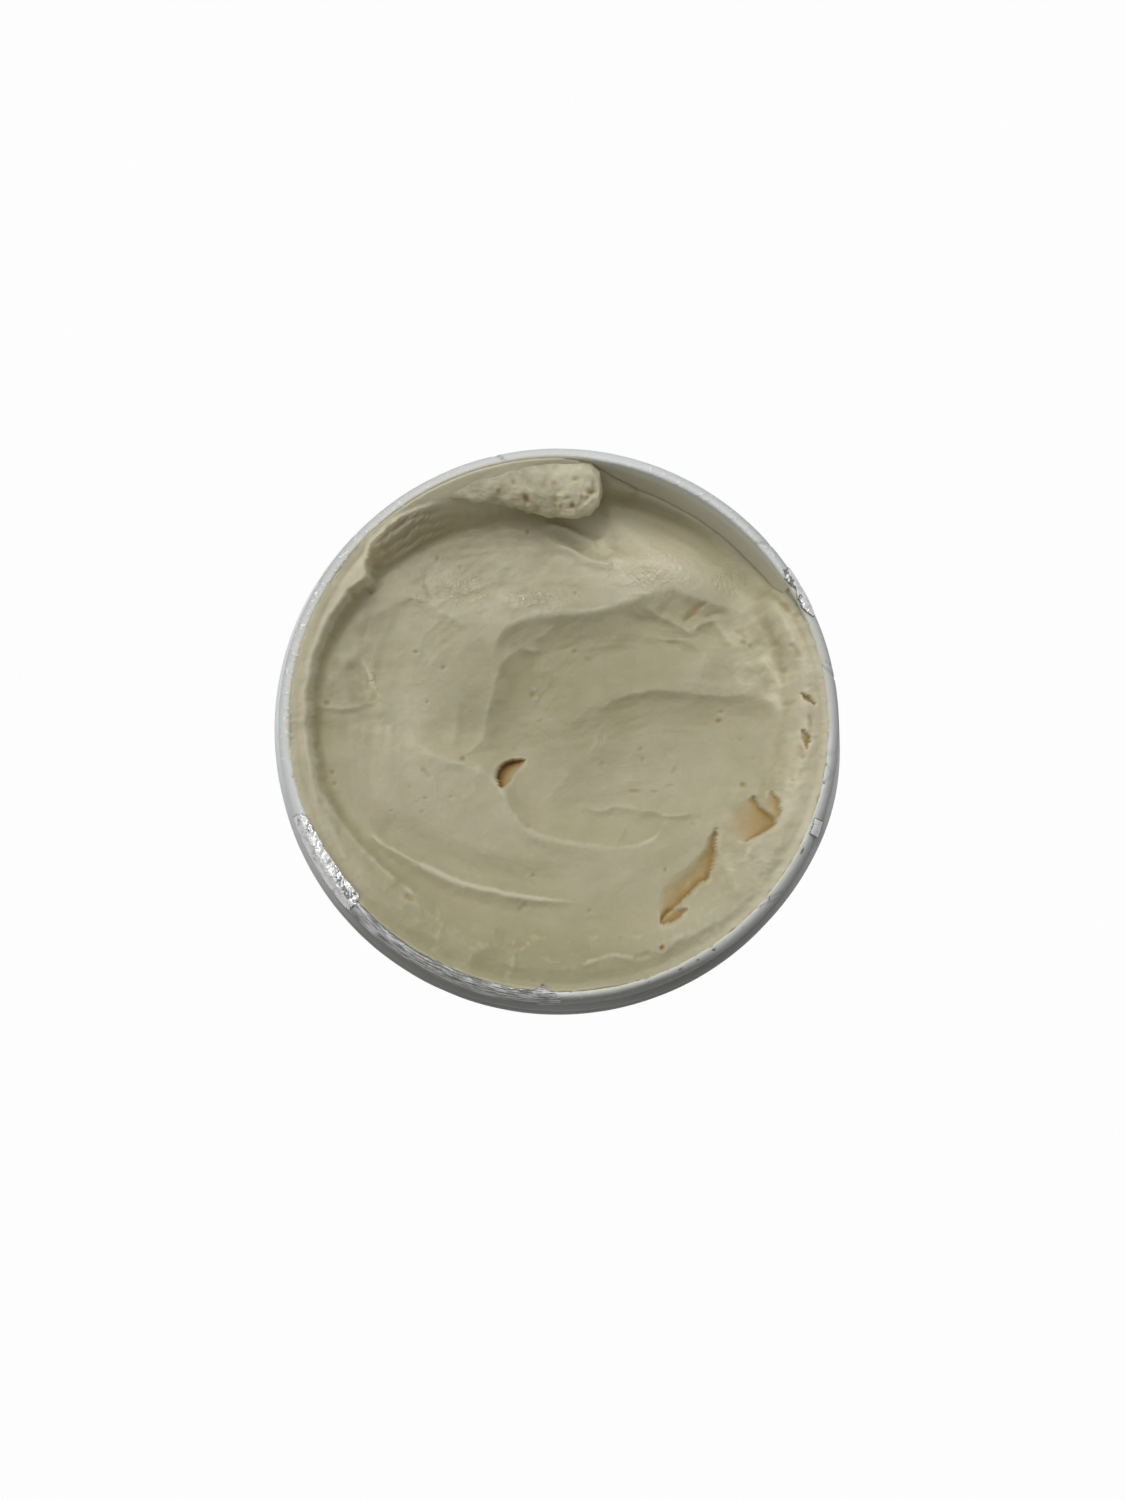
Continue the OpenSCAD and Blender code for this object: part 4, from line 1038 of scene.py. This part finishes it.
# ---- Materials
class Nodes:
    """Short names for the nodes that the materials and the world use."""

    def __init__(self, owner):
        owner.use_nodes = True
        self.owner, self.tree = owner, owner.node_tree
        self.shader = self.tree.nodes.get("Principled BSDF")

    def fill(self, node, inputs):
        """Link or set the inputs of a node. Colours are given without their alpha, which is 1."""
        for key, value in inputs.items():
            socket = node.inputs[key]
            if isinstance(value, bpy.types.NodeSocket):
                self.tree.links.new(value, socket)
            elif value is not None:
                socket.default_value = (*value, 1) if socket.type == "RGBA" else value
        return node

    def node(self, kind, inputs=(), **settings):
        n = self.tree.nodes.new(kind)
        for key, value in settings.items():
            setattr(n, key, value)
        return self.fill(n, dict(inputs))

    def noise(self, scale, detail=3.0, roughness=0.5, where=None, distortion=0.0):
        where = where or self.node("ShaderNodeTexCoord").outputs["Object"]
        return self.node("ShaderNodeTexNoise", {"Scale": scale, "Detail": detail, "Roughness": roughness,
                                                "Distortion": distortion, "Vector": where}).outputs["Fac"]

    def ramp(self, fac, *stops):
        n = self.node("ShaderNodeValToRGB", {"Fac": fac})
        elements = n.color_ramp.elements
        for k, (at, colour) in ((0, stops[0]), (1, stops[-1])):
            elements[k].position, elements[k].color = at, (*colour, 1)
        for at, colour in stops[1:-1]:
            elements.new(at).color = (*colour, 1)
        return n.outputs["Color"]

    def remap(self, value, low, high, to_low, to_high):
        return self.node("ShaderNodeMapRange", {"From Min": low, "From Max": high, "To Min": to_low,
                                                "To Max": to_high, "Value": value}).outputs["Result"]

    def mix(self, fac, a, b):
        return self.node("ShaderNodeMix", {0: fac, 6: a, 7: b}, data_type="RGBA").outputs[2]

    def maths(self, what, a, b, c=None):
        return self.node("ShaderNodeMath", {0: a, 1: b, 2: c}, operation=what).outputs[0]

    def times(self, a, b):
        return self.maths("MULTIPLY", a, b)

    def mask(self, name):
        return self.node("ShaderNodeAttribute", attribute_name=name).outputs["Fac"]

    def bump(self, height, distance, strength=1.0, under=None):
        return self.node("ShaderNodeBump", {"Distance": distance, "Strength": strength, "Height": height,
                                            "Normal": under}).outputs["Normal"]

    def shown(self, real, seen, output):
        """The scene is lit by the real shader and the camera sees the other."""
        ray = self.node("ShaderNodeLightPath").outputs["Is Camera Ray"]
        mixer = self.node("ShaderNodeMixShader", {0: ray, 1: real.outputs[0], 2: seen.outputs[0]})
        self.fill(self.tree.nodes[output], {"Surface": mixer.outputs[0]})


def soap_material(name, light, dark, pale):
    m = Nodes(bpy.data.materials.new(name))
    tone = m.ramp(m.noise(70), (0.32, dark), (0.68, light))
    tone = m.mix(m.remap(m.noise(900, 2, 0.6), 0.5, 0.8, 0, 0.22), tone, pale)
    # painted shade in the broad hollows; tone, the soap's own paler and darker patches mixed with painted
    # light and shade; painted highlight on small crests and painted shade in small creases; painted shade in
    # holes, grooves and pits, near black where deepest
    for mask, low, high, most, colour in (
            ("hollow", -0.6, 1.4, 0.5, (0.40, 0.355, 0.205)),
            ("tone", 0.0, 1.0, 1.0, (0.735, 0.675, 0.495)),
            ("tone", 0.0, -1.0, 1.0, (0.37, 0.335, 0.20)), ("crest", 0.04, 0.2, 0.65, pale),
            ("crest", 0.0, -0.2, 0.4, (0.40, 0.34, 0.185)), ("cavity", 0.0, 0.7, 1.0, (0.42, 0.285, 0.10)),
            ("cavity", 0.6, 1.2, 1.0, (0.14, 0.06, 0.014))):
        tone = m.mix(m.remap(m.mask(mask), low, high, 0.0, most), tone, colour)
    rough = m.remap(m.noise(260, 3, 0.6), 0.35, 0.7, 0.40, 0.60)
    fine = m.bump(m.noise(2600, 3, 0.6), 0.00005, 0.6)
    soft = m.bump(m.noise(620, 4, 0.55, distortion=0.6), 0.00018, 0.7, fine)
    glints = m.times(m.noise(1000, 2, distortion=1.0), m.mask("gloss"))
    m.fill(m.shader, {
        "Base Color": tone, "Roughness": m.maths("SUBTRACT", rough, m.times(m.mask("gloss"), 0.36)),
        "Subsurface Weight": 0.35, "Subsurface Radius": (1.0, 0.62, 0.28), "Subsurface Scale": 0.0010,
        "IOR": 1.45, "Specular IOR Level": 0.5, "Normal": m.bump(glints, 0.00046, 1.0, soft)})
    return m.owner


def plastic_material():
    m = Nodes(bpy.data.materials.new("white_plastic"))
    tone = m.ramp(m.noise(40), (0.3, (0.765, 0.795, 0.795)), (0.7, (0.81, 0.835, 0.835)))
    scuff = m.remap(m.noise(1100, 4, 0.7, distortion=2.0), 0.62, 0.72, 0.0, 0.28)
    # painted shade on the ledge, the thread and the lip, darker on the near side
    dust = m.maths("MINIMUM", m.times(m.mask("dust"), 0.7), 0.92)
    for share, colour in ((scuff, (0.5, 0.52, 0.51)), (m.times(m.mask("smear"), 0.85), (0.66, 0.63, 0.50)),
                          (m.mask("mark"), (0.28, 0.30, 0.31)), (dust, (0.24, 0.236, 0.215))):
        tone = m.mix(share, tone, colour)
    grains = m.noise(1400, 2)
    # white specks painted into the colour as glints on the lip
    tone = m.mix(m.remap(grains, 0.6, 0.68, 0.0, 1.0), tone, m.mix(m.mask("spark"), tone, (1, 1, 1)))
    sparkle = m.bump(m.times(m.remap(grains, 0.54, 0.66, 0.0, 1.0), m.mask("spark")), 0.00012, 0.8)
    m.fill(m.shader, {
        "Base Color": tone, "Roughness": m.remap(m.noise(300, 4, 0.6), 0.3, 0.7, 0.27, 0.42),
        "Subsurface Weight": 0.1, "Subsurface Radius": (1.0, 1.0, 1.0), "Subsurface Scale": 0.0006,
        "IOR": 1.49, "Normal": m.bump(m.noise(1500, 3, 0.6), 0.00003, 0.4, sparkle)})
    return m.owner


def foil_material():
    m = Nodes(bpy.data.materials.new("bright_foil"))
    # the dark patches of the colour are painted reflection of dark surroundings
    tone = m.ramp(m.noise(520, 4, 0.65), (0.32, (0.25, 0.26, 0.27)), (0.40, (0.84, 0.85, 0.85)),
                  (0.5, (0.99, 0.99, 0.99)))
    # painted shade in the crease lines and painted darkness on the outer part
    tone = m.mix(m.remap(m.mask("crinkle"), 0.10, 0.02, 0.0, 0.8), tone, (0.13, 0.135, 0.14))
    # a dark line painted along the torn edge as its shadow
    tone = m.mix(m.remap(m.mask("rim"), 0.5, 1.0, 0.8, 0.0), tone, (0.09, 0.09, 0.09))
    m.fill(m.shader, {
        "Base Color": tone, "Metallic": 0.55,
        "Roughness": m.remap(m.noise(500, 3, 0.6), 0.3, 0.7, 0.4, 0.14),
        "Normal": m.bump(m.noise(1500, 3, 0.6, distortion=0.8), 0.00014, 0.9)})
    return m.owner


def backing_material():
    m = Nodes(bpy.data.materials.new("dull_backing"))
    # streaks stretched along the lip
    along = m.node("ShaderNodeCombineXYZ", {"X": m.times(m.mask("around"), 0.35),
                                            "Y": m.times(m.mask("across"), 5.0)}).outputs[0]
    streaks = m.noise(1.0, 4, 0.65, where=along)
    tone = m.ramp(streaks, (0.36, (0.12, 0.12, 0.115)), (0.47, (0.34, 0.34, 0.33)),
                  (0.58, (0.74, 0.75, 0.76)))
    # painted shade in the crease lines and on the outer part
    tone = m.mix(m.remap(m.mask("crinkle"), 0.25, -0.3, 0.0, 0.75), tone, (0.13, 0.13, 0.12))
    # darker olive patches towards the outer edge
    outer_darkening = m.times(m.remap(m.mask("across"), -1.6, -2.1, 0.0, 1.0),
                   m.remap(m.noise(160, 2), 0.42, 0.58, 0, 0.85))
    tone = m.mix(outer_darkening, tone, (0.15, 0.145, 0.105))
    # painted shadow along the torn edge, broken up by noise
    edge_shadow = m.times(m.remap(m.mask("rim"), 0.3, 1.0, 0.9, 0.0),
                   m.remap(m.noise(330, 2), 0.42, 0.6, 0.1, 1.0))
    tone = m.mix(edge_shadow, tone, (0.07, 0.075, 0.075))
    m.fill(m.shader, {
        "Base Color": tone, "Metallic": 0.2,
        "Roughness": m.remap(m.noise(600, 3, 0.6), 0.3, 0.7, 0.32, 0.55),
        "Normal": m.bump(streaks, 0.00008, 0.9)})
    return m.owner


# ---- Stage, light and camera
VIEW_TILT = math.radians(7.95)         # the view is this far from straight down
VIEW_TOWARDS = math.radians(262.15)    # and leans to this side of the tub
VIEW_DISTANCE = 0.2391                 # from the middle of the mouth
VIEW_LENS = 37.6
VIEW_AIM = (0.0004, -0.0047)           # the middle of the picture, from the middle of the mouth
LIGHT_DISTANCE = 1.2                   # from the point that the lights aim at
LIGHT_AIM_Z = 0.03                     # height of that point, on the axis of the tub


def make_camera():
    mouth = Vector((0, 0, tub_high.z))
    back = Vector((math.sin(VIEW_TILT) * math.cos(VIEW_TOWARDS),
                   math.sin(VIEW_TILT) * math.sin(VIEW_TOWARDS),
                   math.cos(VIEW_TILT)))
    data = bpy.data.cameras.new("camera")
    data.lens, data.sensor_width = VIEW_LENS, 36.0
    data.clip_start, data.clip_end = 0.01, 20
    camera = bpy.data.objects.new("camera", data)
    bpy.context.scene.collection.objects.link(camera)
    camera.location = mouth + VIEW_DISTANCE * back
    up = (Vector((0, 1, 0)) - back * back.y).normalized()
    right = up.cross(back)
    aim = mouth + right * VIEW_AIM[0] + up * VIEW_AIM[1]
    look = (aim - camera.location).normalized()
    side = look.cross(up).normalized()
    top = side.cross(look)
    camera.matrix_world = Matrix((side, top, -look)).transposed().to_4x4()
    camera.location = mouth + VIEW_DISTANCE * back
    bpy.context.scene.camera = camera


def area_light(name, azimuth, elevation, size, power, colour=(1, 1, 1)):
    """A soft square light aimed at the tub; azimuth is counted from +X towards +Y."""
    data = bpy.data.lights.new(name, "AREA")
    data.shape, data.size, data.energy, data.color = "SQUARE", size, power, colour
    light = bpy.data.objects.new(name, data)
    bpy.context.scene.collection.objects.link(light)
    a, e = math.radians(azimuth), math.radians(elevation)
    away = Vector((math.cos(a) * math.cos(e), math.sin(a) * math.cos(e), math.sin(e)))
    light.location = away * LIGHT_DISTANCE + Vector((0, 0, LIGHT_AIM_Z))
    light.rotation_mode = "QUATERNION"
    light.rotation_quaternion = away.to_track_quat("Z", "Y")


def make_stage():
    floor = mesh_object("floor", [(-3, -3, 0), (3, -3, 0), (3, 3, 0), (-3, 3, 0)], [(0, 1, 2, 3)], False)
    m = Nodes(bpy.data.materials.new("pale_floor"))
    m.fill(m.shader, {"Base Color": (0.7, 0.7, 0.7), "Roughness": 0.9})
    glow = m.node("ShaderNodeEmission", {"Color": (1, 1, 1), "Strength": 0.985})
    m.shown(m.shader, glow, "Material Output")
    floor.data.materials.append(m.owner)
    # a dome that is brighter towards the far side, which is +Y; behind the objects the camera sees it pale
    w = Nodes(bpy.data.worlds.new("studio"))
    split = w.node("ShaderNodeSeparateXYZ", {0: w.node("ShaderNodeTexCoord").outputs["Generated"]})
    lean = w.maths("MULTIPLY_ADD", split.outputs["Y"], 6.0, split.outputs["Z"])
    dome = w.fill(w.tree.nodes["Background"], {"Color": (1.0, 1.0, 0.99),
                                               "Strength": w.remap(lean, -5.0, 7.0, 0.02, 0.82)})
    backdrop = w.node("ShaderNodeBackground", {"Color": (1, 1, 1), "Strength": 0.9})
    w.shown(dome, backdrop, "World Output")
    bpy.context.scene.world = w.owner
    area_light("key", 150, 46, 1.0, 3.1, (1.0, 1.0, 0.985))
    area_light("glint", 237, 55, 0.15, 0.95)
    area_light("spark", 117, 65, 0.14, 1.7)
    area_light("spark_far", 86, 57, 0.12, 1.0)
    bpy.context.scene.view_settings.view_transform = "Standard"


# ---- Assembly
soap_look = soap_material("soft_soap", (0.532, 0.485, 0.342), (0.488, 0.453, 0.303), (0.66, 0.62, 0.47))
lump_look = soap_material("aerated_soap", (0.78, 0.735, 0.55), (0.72, 0.675, 0.49), (0.86, 0.82, 0.66))
foil_look = foil_material()


def fit(piece, node, look):
    """Put a piece in the place of a node, with its look."""
    piece.data.materials.append(look)
    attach(piece, "root")
    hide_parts(node)


fit(build_tub(), "tub", plastic_material())
fit(build_soap(), "soap", soap_look)
fit(build_lump(), "soap_lump", lump_look)
strip, scrap, fleck, backing = build_foils()
fit(strip, "foil_strip", foil_look)
fit(scrap, "foil_scrap", foil_look)
fit(fleck, "foil_fleck", foil_look)
fit(backing, "foil_backing", backing_material())

make_stage()
make_camera()
